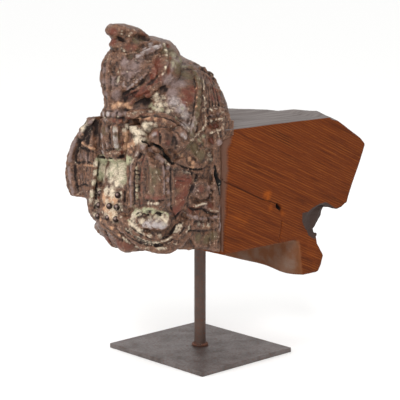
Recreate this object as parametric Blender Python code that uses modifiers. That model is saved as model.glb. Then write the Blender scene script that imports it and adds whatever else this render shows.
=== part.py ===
"""Carved horse-head end of a timber bracket, shown on a steel rod and foot plate.

Metres, +Z up. The origin is on the rod's axis at the underside of the foot plate.
-Y is the carved front, +Y the sawn tail of the timber, +X the side with the saw cut.
"""
import math

import bpy
import bmesh
import numpy as np
from mathutils import Matrix, Vector

# Foot plate
PLATE_WIDTH = 0.1425
PLATE_LENGTH = 0.1275
PLATE_THICKNESS = 0.005
PLATE_EDGE_ROUND = 0.0008

# Rod and its weld
ROD_DIAMETER = 0.012
ROD_IN_TIMBER = 0.060
ROD_END_CHAMFER = 0.0008
WELD_SPREAD = 0.0034
WELD_HEIGHT = 0.0030

# Clearances
HOLE_CLEARANCE = 0.0003
SEAT_GAP = 0.0003

# Timber
TIMBER_CLEAR_OF_PLATE = 0.1133
TIMBER_WIDTH = 0.140
TIMBER_HEIGHT = 0.124
SAWN_LENGTH_AHEAD = 0.034
TAIL_REACH = 0.178
TAIL_TOP_REACH = 0.118
TAIL_CHAMFER_DROP = 0.0355
TAIL_SKEW = math.radians(33.9)
UNDERCUT_REACH = 0.136
UNDERCUT_RISE = 0.023
LUG_START = 0.078
LUG_REACH = 0.1135
LUG_DROP = 0.035
MOUTH_DEPTH_START = 0.104
MOUTH_RISE = 0.0175
MOUTH_RADIUS = 0.0172
MOUTH_LEAN = math.radians(23.5)

# Carving, whose forms are shares of these three sizes
CARVING_LENGTH = 0.100
CARVING_HEIGHT = 0.223

# The set-out drawing: squares across, along and up that the carving's forms are given in
DRAWN_WIDTH = 140.0
DRAWN_JOINT = -34.0
DRAWN_LENGTH = 100.0
DRAWN_UNDERSIDE = 118.3
DRAWN_HEIGHT = 223.0

# Facets of the carved form, in squares of the drawing
CARVING_GRAIN = 1.9
CARVING_FACETS = 8200
SMOOTHING_PASSES = 4

# Garland of the far side, behind and within the near one, in squares and as a share
FAR_GARLAND_BEHIND = 16
FAR_GARLAND_SHARE = 0.9

UNDERSIDE = PLATE_THICKNESS + TIMBER_CLEAR_OF_PLATE
TIMBER_TOP = UNDERSIDE + TIMBER_HEIGHT
HALF_WIDTH = TIMBER_WIDTH / 2
CUT_MARGIN = 0.02
PART_NAME = "carved_horse_bracket"


def on_drawing(across, along, up):
    """World place of a point of the set-out drawing."""
    x = across * TIMBER_WIDTH / DRAWN_WIDTH
    y = -SAWN_LENGTH_AHEAD + (along - DRAWN_JOINT) * CARVING_LENGTH / DRAWN_LENGTH
    z = UNDERSIDE + (up - DRAWN_UNDERSIDE) * CARVING_HEIGHT / DRAWN_HEIGHT
    return Vector((x, y, z))


def clear_objects():
    for old in list(bpy.data.objects):
        bpy.data.objects.remove(old, do_unlink=True)


def new_collection(name):
    collection = bpy.data.collections.new(name)
    bpy.context.scene.collection.children.link(collection)
    return collection


def make_material(name, colour, roughness, metallic=0.0):
    material = bpy.data.materials.new(name)
    material.use_nodes = True
    shader = material.node_tree.nodes["Principled BSDF"]
    shader.inputs["Base Color"].default_value = (*colour, 1.0)
    shader.inputs["Roughness"].default_value = roughness
    shader.inputs["Metallic"].default_value = metallic
    return material


def add_object(name, mesh, collection, material=None):
    piece = bpy.data.objects.new(name, mesh)
    collection.objects.link(piece)
    if material:
        mesh.materials.clear()
        mesh.materials.append(material)
    return piece


def as_cutter(piece):
    piece.hide_render = True
    piece.display_type = "WIRE"
    return piece


def evaluated_mesh(piece):
    """The piece's mesh with its modifiers applied, in its own space."""
    bpy.context.view_layer.update()
    graph = bpy.context.evaluated_depsgraph_get()
    return bpy.data.meshes.new_from_object(piece.evaluated_get(graph))


def curve_to_mesh(curve):
    """A closed mesh of a curve with caps, with its loose cap points welded."""
    holder = bpy.data.objects.new("curve_holder", curve)
    bpy.context.scene.collection.objects.link(holder)
    mesh = evaluated_mesh(holder)
    bpy.data.objects.remove(holder, do_unlink=True)
    bpy.data.curves.remove(curve)
    shape = bmesh.new()
    shape.from_mesh(mesh)
    bmesh.ops.remove_doubles(shape, verts=shape.verts, dist=1e-6)
    bmesh.ops.recalc_face_normals(shape, faces=shape.faces)
    shape.to_mesh(mesh)
    shape.free()
    return mesh


def outline_solid(outline, half_depth):
    """A flat outline in X and Y, filled and extruded half_depth to each side of Z = 0."""
    curve = bpy.data.curves.new("outline", "CURVE")
    curve.dimensions = "2D"
    curve.fill_mode = "BOTH"
    curve.extrude = half_depth
    spline = curve.splines.new("POLY")
    spline.points.add(len(outline) - 1)
    for point, (u, v) in zip(spline.points, outline):
        point.co = (u, v, 0.0, 1.0)
    spline.use_cyclic_u = True
    return curve_to_mesh(curve)


# Turns an outline drawn in X and Y to stand in the Y and Z plane, its depth along X
SIDEWAYS = Matrix(((0, 0, 1, 0), (1, 0, 0, 0), (0, 1, 0, 0), (0, 0, 0, 1)))


def arc_points(centre, radius, start, end, steps):
    """Points on an arc, angles in degrees from the first axis."""
    points = []
    for step in range(steps + 1):
        angle = math.radians(start + (end - start) * step / steps)
        points.append((centre[0] + radius * math.cos(angle), centre[1] + radius * math.sin(angle)))
    return points


# Timber


def timber_profile():
    """Side outline of the timber: flat beam, slanted tail, open mouth and the lug below it."""
    lug_bottom = UNDERSIDE - LUG_DROP
    lug_tip = lug_bottom + 0.42 * LUG_DROP
    mouth_low = UNDERSIDE + 0.001
    jut = UNDERSIDE + UNDERCUT_RISE
    lug_length = LUG_REACH - LUG_START
    scoop = 0.18 * lug_length
    points = [(-SAWN_LENGTH_AHEAD, UNDERSIDE)]
    points.append((LUG_START - scoop, UNDERSIDE))
    points.append((LUG_START - 0.3 * scoop, UNDERSIDE - 0.2 * LUG_DROP))
    points.append((LUG_START, UNDERSIDE - 0.65 * LUG_DROP))
    points.append((LUG_START + 0.05 * lug_length, lug_bottom + 0.05 * LUG_DROP))
    points.append((LUG_START + 0.15 * lug_length, lug_bottom))
    points.append((LUG_REACH - 0.25 * lug_length, lug_bottom))
    points.append((LUG_REACH - 0.12 * lug_length, lug_bottom + 0.15 * LUG_DROP))
    points.append((LUG_REACH, lug_tip))
    points.append((LUG_REACH - 0.3 * lug_length, lug_tip + 0.4 * LUG_DROP))
    points.append((MOUTH_DEPTH_START, mouth_low))
    points.append((MOUTH_DEPTH_START + 0.003, mouth_low + 0.40 * UNDERCUT_RISE))
    points.append((MOUTH_DEPTH_START + 0.010, mouth_low + 0.80 * UNDERCUT_RISE))
    points.append((MOUTH_DEPTH_START + 0.018, jut + 0.2 * UNDERCUT_RISE))
    points.append((UNDERCUT_REACH, jut))
    points.append((UNDERCUT_REACH + 0.010, jut + 0.1 * UNDERCUT_RISE))
    shoulder = TIMBER_TOP - TAIL_CHAMFER_DROP
    slope = TAIL_REACH - UNDERCUT_REACH - 0.010
    points.append((UNDERCUT_REACH + 0.010 + 0.55 * slope, jut + 0.55 * (shoulder - jut)))
    points.append((TAIL_REACH - 0.003, shoulder - 0.006))
    points.append((TAIL_REACH, shoulder))
    points.append((TAIL_REACH, TIMBER_TOP))
    points.append((-SAWN_LENGTH_AHEAD, TIMBER_TOP))
    return points


def box_mesh(size):
    shape = bmesh.new()
    bmesh.ops.create_cube(shape, size=1.0)
    bmesh.ops.scale(shape, vec=Vector(size), verts=shape.verts)
    mesh = bpy.data.meshes.new("box")
    shape.to_mesh(mesh)
    shape.free()
    return mesh


def tail_saw_cutter(collection):
    """Block beyond the oblique saw cut that ends the timber, upright and skewed in plan."""
    size = 4 * TAIL_REACH
    cutter = add_object("cutter_tail_saw", box_mesh((size, size, size)), collection)
    cutter.rotation_euler = (0, 0, TAIL_SKEW)
    beyond = Vector((-math.sin(TAIL_SKEW), math.cos(TAIL_SKEW), 0)) * size / 2
    cutter.location = Vector((HALF_WIDTH, TAIL_REACH, TIMBER_TOP)) + beyond
    return as_cutter(cutter)


def tail_chamfer_cutter(collection):
    """Block above the sloped cut across the top of the tail."""
    drop = Vector((0, TAIL_REACH - TAIL_TOP_REACH, -TAIL_CHAMFER_DROP))
    lean = Vector((-math.cos(TAIL_SKEW), math.sin(TAIL_SKEW), 0))
    normal = drop.cross(lean).normalized()
    if normal.z < 0:
        normal = -normal
    size = 4 * TAIL_REACH
    cutter = add_object("cutter_tail_chamfer", box_mesh((size, size, size)), collection)
    cutter.rotation_euler = normal.to_track_quat("Z", "Y").to_euler()
    corner = Vector((HALF_WIDTH, TAIL_TOP_REACH, TIMBER_TOP))
    cutter.location = corner + normal * size / 2
    return as_cutter(cutter)


def mouth_cutter(collection):
    """Leaning round scoop that opens the mouth on the sawn side."""
    shape = bmesh.new()
    bmesh.ops.create_cone(
        shape, cap_ends=True, segments=28, radius1=MOUTH_RADIUS, radius2=MOUTH_RADIUS,
        depth=2 * TAIL_REACH)
    mesh = bpy.data.meshes.new("mouth")
    shape.to_mesh(mesh)
    shape.free()
    cutter = add_object("cutter_mouth", mesh, collection)
    axis = Vector((-math.sin(MOUTH_LEAN), math.cos(MOUTH_LEAN), 0))
    cutter.rotation_euler = axis.to_track_quat("Z", "Y").to_euler()
    reach = MOUTH_RADIUS / math.sin(MOUTH_LEAN)
    front_of_mouth = LUG_START + 0.003
    cutter.location = (HALF_WIDTH, front_of_mouth + reach, UNDERSIDE + MOUTH_RISE)
    return as_cutter(cutter)


def rod_hole_cutter(collection):
    """Blind hole for the rod, drilled up from the underside."""
    radius = ROD_DIAMETER / 2 + HOLE_CLEARANCE
    depth = ROD_IN_TIMBER + SEAT_GAP
    below = LUG_DROP + CUT_MARGIN
    shape = bmesh.new()
    bmesh.ops.create_cone(
        shape, cap_ends=True, segments=32, radius1=radius, radius2=radius, depth=depth + below)
    mesh = bpy.data.meshes.new("rod_hole")
    shape.to_mesh(mesh)
    shape.free()
    cutter = add_object("cutter_rod_hole", mesh, collection)
    cutter.location = (0, 0, UNDERSIDE + (depth - below) / 2)
    return as_cutter(cutter)


# Forms of the carving, in squares of the drawing


class Carving:
    """Gathers the overlapping forms of the carving in one mesh."""

    def __init__(self):
        self.shape = bmesh.new()

    def add_mesh(self, mesh, place):
        """Adds a mesh whose points, after place, are in squares of the drawing."""
        before = len(self.shape.verts)
        self.shape.from_mesh(mesh)
        self.shape.verts.ensure_lookup_table()
        for vert in self.shape.verts[before:]:
            spot = place @ vert.co
            vert.co = on_drawing(spot.x, spot.y, spot.z)
        bpy.data.meshes.remove(mesh)

    def blob(self, centre, radii, tilt=(0, 0, 0)):
        """An ellipsoid, tilted by degrees about X, Y and Z."""
        ball = bmesh.new()
        bmesh.ops.create_uvsphere(ball, u_segments=24, v_segments=16, radius=1.0)
        mesh = bpy.data.meshes.new("blob")
        ball.to_mesh(mesh)
        ball.free()
        turn = Matrix.Identity(4)
        for axis, angle in zip("XYZ", tilt):
            turn = Matrix.Rotation(math.radians(angle), 4, axis) @ turn
        self.add_mesh(mesh, Matrix.Translation(centre) @ turn @ Matrix.Diagonal((*radii, 1)))

    def blob_pair(self, centre, radii, tilt=(0, 0, 0)):
        """The same ellipsoid on the near and the far side."""
        self.blob(centre, radii, tilt)
        across, along, up = centre
        self.blob((-across, along, up), radii, (tilt[0], -tilt[1], -tilt[2]))

    def loft(self, sections, steps=36):
        """Level egg-shaped sections, each (up, half width, front, back, narrowing to the front)."""
        shell = bmesh.new()
        rings = []
        for up, half, front, back, narrow in sections:
            middle, reach = (front + back) / 2, (back - front) / 2
            ring = []
            for step in range(steps):
                angle = 2 * math.pi * step / steps
                across = half * math.sin(angle) * (1 - narrow * math.cos(angle))
                ring.append(shell.verts.new((across, middle - reach * math.cos(angle), up)))
            rings.append(ring)
        for low, high in zip(rings, rings[1:]):
            for step in range(steps):
                after = (step + 1) % steps
                shell.faces.new((low[step], low[after], high[after], high[step]))
        shell.faces.new(rings[0])
        shell.faces.new(rings[-1])
        bmesh.ops.recalc_face_normals(shell, faces=shell.faces)
        mesh = bpy.data.meshes.new("loft")
        shell.to_mesh(mesh)
        shell.free()
        self.add_mesh(mesh, Matrix.Identity(4))

    def cord(self, points, radius):
        """A round ridge that follows a smooth curve through the points."""
        curve = bpy.data.curves.new("ridge", "CURVE")
        curve.dimensions = "3D"
        curve.bevel_depth = radius
        curve.bevel_resolution = 2
        curve.resolution_u = 6
        curve.use_fill_caps = True
        spline = curve.splines.new("NURBS")
        spline.points.add(len(points) - 1)
        for point, spot in zip(spline.points, points):
            point.co = (*spot, 1.0)
        spline.order_u = 3
        spline.use_endpoint_u = True
        self.add_mesh(curve_to_mesh(curve), Matrix.Identity(4))

    def cord_pair(self, points, radius):
        self.cord(points, radius)
        self.cord([(-across, along, up) for across, along, up in points], radius)

    def board(self, outline, middle, half_depth, plane):
        """An outline of given depth, in the front plane (across, up) or the side (along, up)."""
        mesh = outline_solid(outline, half_depth)
        if plane == "side":
            place = Matrix.Translation((middle, 0, 0)) @ SIDEWAYS
        else:
            facing = Matrix(((1, 0, 0, 0), (0, 0, -1, 0), (0, 1, 0, 0), (0, 0, 0, 1)))
            place = Matrix.Translation((0, middle, 0)) @ facing
        self.add_mesh(mesh, place)

    def board_pair(self, outline, middle, half_depth, plane):
        self.board(outline, middle, half_depth, plane)
        if plane == "side":
            self.board(outline, -middle, half_depth, plane)
        else:
            self.board([(-u, v) for u, v in outline], middle, half_depth, plane)


def build_trunk(carving):
    """Breast, shoulders and the broad neck that runs back over the timber."""
    flank = [(-30, 122), (-70, 123), (-92, 128), (-100, 137), (-104, 170), (-104, 240), (-30, 243)]
    carving.board(flank, 8, 52, "side")
    far_flank = [(-30, 124), (-66, 124), (-88, 132), (-92, 162), (-104, 176), (-104, 240), (-30, 243)]
    carving.board(far_flank, -24, 36, "side")
    carving.blob((0, -38, 234), (65, 53, 76))
    carving.blob_pair((28, -54, 254), (32, 42, 40))
    carving.loft((
        (122, 16, -104, -60, 0.0),
        (130, 26, -116, -60, 0.0),
        (140, 32, -125, -60, 0.0),
        (150, 33, -129, -60, 0.0),
        (165, 32, -126, -60, 0.0),
        (186, 30, -121, -60, 0.0),
        (206, 28, -116, -60, 0.0),
        (222, 22, -108, -60, 0.0),
    ))


def build_head(carving):
    """Long face held upright, brow, cheeks, muzzle and noseband."""
    carving.loft((
        (209, 11, -112, -84, 0.0),
        (214, 16, -118, -80, 0.1),
        (226, 18, -121, -76, 0.15),
        (240, 18, -122, -74, 0.2),
        (252, 20, -122, -70, 0.25),
        (264, 25, -122, -64, 0.35),
        (280, 34, -125, -58, 0.5),
        (295, 38, -128, -50, 0.55),
        (308, 37, -126, -46, 0.55),
        (318, 30, -118, -44, 0.45),
        (326, 20, -110, -46, 0.2),
        (331, 10, -100, -56, 0.0),
    ))
    carving.blob_pair((8, -111, 237), (8.5, 11, 24))
    carving.blob((0, -110, 217), (15, 10, 7))
    carving.loft((
        (251, 16, -122, -76, 0.2),
        (253, 18, -125, -74, 0.2),
        (263, 20, -125, -72, 0.25),
        (266, 18, -122, -72, 0.3),
    ))
    cheek_edge = [(28, -60, 322), (36, -68, 312), (40, -76, 300), (37, -88, 288), (28, -98, 278)]
    carving.cord_pair(cheek_edge, 4.2)
    brow = [(31, -94, 299), (24, -104, 292), (17, -112, 284)]
    carving.cord_pair(brow, 4.0)
    for rise in (0, 9):
        lock = [(30, -78, 323 - rise), (24, -96, 318 - rise), (14, -114, 305 - rise)]
        carving.cord_pair(lock, 3.4)


def build_topknot(carving):
    """Cupped crest between the ears, with a hollow at each side."""
    carving.blob((0, -95, 333), (12, 27, 10), (-15, 0, 0))
    carving.blob((0, -111, 337), (11, 11, 8), (-10, 0, 0))
    carving.blob((0, -92, 324), (14, 24, 10))
    carving.blob_pair((10, -96, 321), (6, 8, 6))


def build_legs(carving):
    """Folded forelegs that stand proud at the two front corners."""
    outline = [
        (28, 169), (25, 190), (25, 220), (29, 250), (36, 249), (47, 236),
        (58, 222), (67, 208), (70, 194), (69, 178), (62, 168),
    ]
    carving.board_pair(outline, -109, 11.5, "front")
    carving.blob((58, -105, 238), (9, 13, 12))
    carving.blob((58, -86, 236), (10, 15, 13))
    carving.blob((-54, -84, 236), (10, 15, 13))
    carving.blob((54, -107, 161), (15, 12, 11))
    carving.blob((-46, -92, 152), (14, 10, 11))


def build_harness(carving):
    """Straps, mane band, flap, roundel and garland on the two sides."""
    rein = [(18, -112, 258), (30, -104, 262), (44, -90, 258), (53, -80, 252), (61, -68, 241)]
    carving.cord_pair(rein, 4.5)
    carving.blob_pair((35, -94, 253), (13, 13, 12))
    collar = [
        (0, -28, 309), (26, -36, 303), (43, -44, 290), (55, -55, 276), (60, -62, 258),
        (61, -70, 243), (60, -74, 230),
    ]
    carving.cord_pair(collar, 4.2)
    mane_edge = [(10, -24, 306), (36, -34, 296), (50, -41, 283), (59, -48, 264), (63, -52, 226)]
    carving.cord_pair(mane_edge, 3.4)
    mane_rungs = (
        ((30, -31, 299), (32, -16, 290)),
        ((48, -39, 285), (47, -19, 276)),
        ((56, -46, 271), (55, -22, 264)),
        ((61, -50, 257), (60, -26, 252)),
        ((63, -52, 243), (64, -36, 240)),
        ((63, -52, 229), (64, -38, 227)),
    )
    for rung in mane_rungs:
        carving.cord_pair([rung[0], rung[0], rung[1], rung[1]], 3.2)
    torn_wood = [(-40, 230), (-19, 236), (-18, 250), (-23, 251), (-25, 258), (-30, 263), (-40, 262)]
    carving.board(torn_wood, 62, 6.5, "side")
    flap = [(-104, 216), (-80, 220), (-71, 200), (-74, 178), (-90, 160), (-101, 174), (-106, 196)]
    carving.board_pair(flap, 60, 5, "side")
    roundel = arc_points((-56, 186), 10, 0, 360, 20)[:-1]
    carving.board_pair(roundel, 60, 5, "side")
    for radius in (19, 27):
        arc = arc_points((-56, 186), radius, 200, 330, 8)
        carving.cord_pair([(61, along, up) for along, up in arc], 3.0)
    for rise in (0, 9):
        festoon = [
            (20, -124, 154 + rise), (38, -121, 141 + rise), (54, -112, 134 + rise),
            (61, -98, 132 + rise), (63, -82, 139 + rise), (62, -68, 152 + rise),
        ]
        carving.cord(festoon, 4.8)
        far_festoon = [
            (-FAR_GARLAND_SHARE * across, along + FAR_GARLAND_BEHIND, up + 3)
            for across, along, up in festoon
        ]
        carving.cord(far_festoon, 4.5)
    carving.blob((50, -103, 145), (11, 11, 10))
    for across in (-5, 13):
        carving.blob((across, -108, 134), (11, 13, 11))
    margin = [(-36, 119), (-45, 121), (-46, 236), (-36, 243)]
    carving.board(margin, 0, 68, "side")


def keep_largest_shell(mesh):
    """Drops the small closed shells that overlapping forms can leave inside."""
    shape = bmesh.new()
    shape.from_mesh(mesh)
    unseen = set(shape.verts)
    shells = []
    while unseen:
        stack = [unseen.pop()]
        shell = [stack[0]]
        while stack:
            for edge in stack.pop().link_edges:
                for vert in edge.verts:
                    if vert in unseen:
                        unseen.remove(vert)
                        stack.append(vert)
                        shell.append(vert)
        shells.append(shell)
    shells.sort(key=len)
    for shell in shells[:-1]:
        bmesh.ops.delete(shape, geom=shell, context="VERTS")
    shape.to_mesh(mesh)
    shape.free()


def press_hollow(points, normals, centre, radii, depth):
    """Sinks the surface inside an ellipsoid by up to depth, all in squares of the drawing."""
    middle = np.array(on_drawing(*centre))
    spread = np.array(on_drawing(*(c + r for c, r in zip(centre, radii)))) - middle
    far = (((points - middle) / spread) ** 2).sum(axis=1)
    share = np.clip(1 - far, 0, None) ** 0.75
    square = CARVING_LENGTH / DRAWN_LENGTH
    points -= normals * (share * depth * square)[:, None]


HOLLOWS = (
    ((20, -98, 292), (24, 26, 8), 3.5),
    ((18, -112, 276), (12, 14, 6), 3.0),
    ((11, -108, 334), (10, 10, 8), 4.5),
    ((12, -86, 333), (8, 10, 6), 3.5),
    ((48, -121, 206), (11, 8, 26), 4.0),
    ((48, -121, 178), (9, 8, 5), 2.5),
    ((0, -133, 292), (5, 16, 34), 2.0),
    ((0, -124, 236), (4, 10, 22), 3.0),
    ((34, -110, 222), (7, 14, 20), 5.0),
    ((65, -114, 148), (14, 10, 5), 2.0),
)


def carving_mesh():
    """One closed skin over all the forms, smoothed and hollowed."""
    carving = Carving()
    build_trunk(carving)
    build_head(carving)
    build_topknot(carving)
    build_legs(carving)
    build_harness(carving)
    mesh = bpy.data.meshes.new("carving_forms")
    carving.shape.to_mesh(mesh)
    carving.shape.free()
    holder = bpy.data.objects.new("carving_forms", mesh)
    bpy.context.scene.collection.objects.link(holder)
    skin = holder.modifiers.new("one_skin", "REMESH")
    skin.mode = "VOXEL"
    skin.voxel_size = CARVING_GRAIN * CARVING_LENGTH / DRAWN_LENGTH
    soften = holder.modifiers.new("soften", "SMOOTH")
    soften.factor = 0.5
    soften.iterations = SMOOTHING_PASSES
    skinned = evaluated_mesh(holder)
    bpy.data.objects.remove(holder, do_unlink=True)
    keep_largest_shell(skinned)
    count = len(skinned.vertices)
    points = np.empty(count * 3)
    skinned.vertices.foreach_get("co", points)
    points = points.reshape(-1, 3)
    normals = np.empty(count * 3)
    skinned.vertex_normals.foreach_get("vector", normals)
    normals = normals.reshape(-1, 3)
    for (across, along, up), radii, depth in HOLLOWS:
        press_hollow(points, normals, (across, along, up), radii, depth)
        if across:
            press_hollow(points, normals, (-across, along, up), radii, depth)
    skinned.vertices.foreach_set("co", points.ravel())
    skinned.update()
    return skinned


def build_bracket(collection, cutters, material):
    """Timber and carving in one piece of wood."""
    mesh = outline_solid(timber_profile(), HALF_WIDTH)
    mesh.transform(SIDEWAYS)
    bracket = add_object("carved_bracket", mesh, collection, material)
    bracket_cuts = [
        tail_saw_cutter(cutters), tail_chamfer_cutter(cutters), mouth_cutter(cutters),
    ]
    for cutter in bracket_cuts:
        cut = bracket.modifiers.new(cutter.name, "BOOLEAN")
        cut.operation = "DIFFERENCE"
        cut.object = cutter
    carving = as_cutter(add_object("carving_form", carving_mesh(), cutters))
    thin = carving.modifiers.new("fewer_facets", "DECIMATE")
    thin.ratio = min(1.0, CARVING_FACETS / (2 * len(carving.data.polygons)))
    join = bracket.modifiers.new("carving", "BOOLEAN")
    join.operation = "UNION"
    join.object = carving
    drill = bracket.modifiers.new("rod_hole", "BOOLEAN")
    drill.operation = "DIFFERENCE"
    drill.object = rod_hole_cutter(cutters)
    return bracket


def build_rod(collection, material):
    """Round rod with its weld bead at the foot, turned as one profile from top to bottom."""
    radius = ROD_DIAMETER / 2
    top = UNDERSIDE + ROD_IN_TIMBER
    foot = PLATE_THICKNESS + SEAT_GAP
    profile = [(0, top), (radius - ROD_END_CHAMFER, top), (radius, top - ROD_END_CHAMFER)]
    profile.append((radius, foot + WELD_HEIGHT))
    for step in range(1, 5):
        angle = math.radians(90 * step / 4)
        profile.append((
            radius + WELD_SPREAD * (1 - math.cos(angle)),
            foot + WELD_HEIGHT * (1 - math.sin(angle)),
        ))
    profile.append((0, foot))
    mesh = bpy.data.meshes.new("stand_rod")
    edges = [(index, index + 1) for index in range(len(profile) - 1)]
    mesh.from_pydata([(u, 0, v) for u, v in profile], edges, [])
    rod = add_object("stand_rod", mesh, collection, material)
    turn = rod.modifiers.new("turned", "SCREW")
    turn.steps = 32
    turn.render_steps = 32
    turn.use_merge_vertices = True
    turn.merge_threshold = 1e-5
    return rod


def build_plate(collection, material):
    """Rectangular foot plate with slightly rounded edges."""
    mesh = box_mesh((PLATE_WIDTH, PLATE_LENGTH, PLATE_THICKNESS))
    plate = add_object("stand_plate", mesh, collection, material)
    plate.location = (0, 0, PLATE_THICKNESS / 2)
    ease = plate.modifiers.new("eased_edges", "BEVEL")
    ease.width = PLATE_EDGE_ROUND
    ease.segments = 2
    return plate


def main():
    clear_objects()
    collection = new_collection(PART_NAME)
    cutters = new_collection("cutters")
    timber = make_material("weathered_teak", (0.17, 0.075, 0.035), 0.55)
    steel = make_material("brown_steel", (0.045, 0.035, 0.03), 0.45, 0.8)
    build_bracket(collection, cutters, timber)
    build_rod(collection, steel)
    build_plate(collection, steel)


main()
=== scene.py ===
"""Carved horse-head end of a timber bracket on its steel stand, with its finishes and studio.

Metres, +Z up. -Y is the carved front, +Y the sawn tail, +X the side with the crack and the mouth.
The carving's forms, strokes and paint are given in millimetres in the same frame.
"""

import math

import bmesh
import bpy
import numpy as np
from bpy.props import FloatProperty, FloatVectorProperty, IntProperty, PointerProperty
from mathutils import Matrix, Vector, noise
from mathutils.bvhtree import BVHTree


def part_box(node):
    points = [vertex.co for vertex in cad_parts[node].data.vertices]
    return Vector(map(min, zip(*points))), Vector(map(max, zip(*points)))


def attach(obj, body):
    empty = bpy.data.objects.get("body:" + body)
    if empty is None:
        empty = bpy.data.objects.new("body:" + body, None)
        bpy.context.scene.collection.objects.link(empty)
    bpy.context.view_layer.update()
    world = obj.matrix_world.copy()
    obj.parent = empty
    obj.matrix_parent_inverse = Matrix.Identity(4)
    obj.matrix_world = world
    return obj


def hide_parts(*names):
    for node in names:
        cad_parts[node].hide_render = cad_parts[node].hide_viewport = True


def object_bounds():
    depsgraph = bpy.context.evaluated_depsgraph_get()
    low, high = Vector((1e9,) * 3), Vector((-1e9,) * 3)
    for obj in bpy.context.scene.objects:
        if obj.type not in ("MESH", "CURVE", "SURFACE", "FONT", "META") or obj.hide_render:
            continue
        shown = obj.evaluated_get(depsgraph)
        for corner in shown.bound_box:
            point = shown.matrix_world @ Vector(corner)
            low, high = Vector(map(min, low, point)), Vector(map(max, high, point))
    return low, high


bl_info = {
    "name": "Carved Horse Bracket",
    "version": (1, 0, 0),
    "blender": (4, 5, 0),
    "location": "3D View > Sidebar > Bracket",
    "description": "Finishes the carved timber bracket and its steel stand",
    "category": "Object",
}

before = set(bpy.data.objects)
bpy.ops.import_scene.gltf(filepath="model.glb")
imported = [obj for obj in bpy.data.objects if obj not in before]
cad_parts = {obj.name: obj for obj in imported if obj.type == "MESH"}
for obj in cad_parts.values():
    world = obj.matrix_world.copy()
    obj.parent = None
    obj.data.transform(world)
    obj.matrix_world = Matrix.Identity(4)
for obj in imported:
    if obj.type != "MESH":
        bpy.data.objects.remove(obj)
CAD_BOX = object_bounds()

MM = 0.001
# Sizes in mm: where the sawn timber starts behind the carving, its top and its underside
TIMBER_START = -35.2
TIMBER_TOP = 242.3
UNDERSIDE = 118.3
ROD_RADIUS = 6.0
PLATE_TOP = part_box("stand_plate")[1].z / MM
MOST_TRIANGLES = 196000
SAW_MARK_SLOPE = math.radians(24.0)
# Width of the camera's sensor in mm, of the photograph in pixels, and the carving's middle in it
SENSOR = 36.0
PHOTO_SIZE = 400
CARVING_MIDDLE = (150, 140)


def linear(code):
    """Linear colour, with alpha 1, of an sRGB hex value."""
    parts = [int(code[at:at + 2], 16) / 255 for at in (0, 2, 4)]
    return (*(p / 12.92 if p <= 0.04045 else ((p + 0.055) / 1.055) ** 2.4 for p in parts), 1.0)


def colour_property(name, description, code):
    return FloatVectorProperty(
        name=name, description=description, default=linear(code), size=4, min=0.0, max=1.0,
        subtype="COLOR")


# Settings that a user would change


class CarvingSettings(bpy.types.PropertyGroup):
    grain: FloatProperty(
        name="Carving grain", description="Size of the facets that the carving is cut in",
        default=0.00095, min=0.0008, max=0.004, precision=5, unit="LENGTH")
    depth: FloatProperty(
        name="Cut depth", description="How deep the carved strokes are, as a share of full depth",
        default=1.0, min=0.0, max=1.5, subtype="FACTOR")
    wear: FloatProperty(
        name="Wear", description="Height of the worn and chipped unevenness",
        default=0.0006, min=0.0, max=0.003, precision=5, unit="LENGTH")
    bead_radius: FloatProperty(
        name="Bead radius", description="Radius of the small beads of the harness",
        default=0.0016, min=0.0005, max=0.004, precision=4, unit="LENGTH")
    bead_spacing: FloatProperty(
        name="Bead spacing", description="Distance from one small bead to the next",
        default=0.0042, min=0.002, max=0.01, precision=4, unit="LENGTH")
    stud_radius: FloatProperty(
        name="Bell radius", description="Radius of the round bells on the breast strap",
        default=0.003, min=0.001, max=0.008, precision=4, unit="LENGTH")
    dark_wood: colour_property("Dark wood", "Old wood in shade and under grime", "24150f")
    wood: colour_property("Old wood", "Worn surface of the carved wood", "78543f")
    # Grey-violet bloom, also laid on the lit ridges and hair as painted highlight
    patina_and_highlight: colour_property("Patina", "Grey-violet bloom on the worn ridges", "7b6762")
    bole: colour_property("Red ground", "Red-brown ground colour under the lost paint", "63301f")
    gesso: colour_property("Gesso", "Cream chalk ground left in the hollows", "d6c6ae")
    # Pale lilac-grey painted highlight on the lit ridges, the brow and the neck bulge
    painted_highlight: colour_property("Rubbed wood", "Pale lilac-grey where hands have rubbed it", "a79c99")
    olive: colour_property("Olive grime", "Olive-brown film of old varnish", "5a4a33")
    green: colour_property("Pale green", "Remains of pale green paint", "9d9a7c")
    ochre: colour_property("Ochre", "Remains of orange ochre paint", "bb9070")
    # Soot in the cuts, laid thicker in the hollows and on the sides turned from the light: dirt and
    # painted shade
    soot_and_shade: colour_property("Soot", "Soot and dirt deep in the cuts", "20130f")
    # The inside of the crack is painted near-black: painted shade
    crack_shade: colour_property("Crack", "Inside of the open crack", "0b0706")


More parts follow.
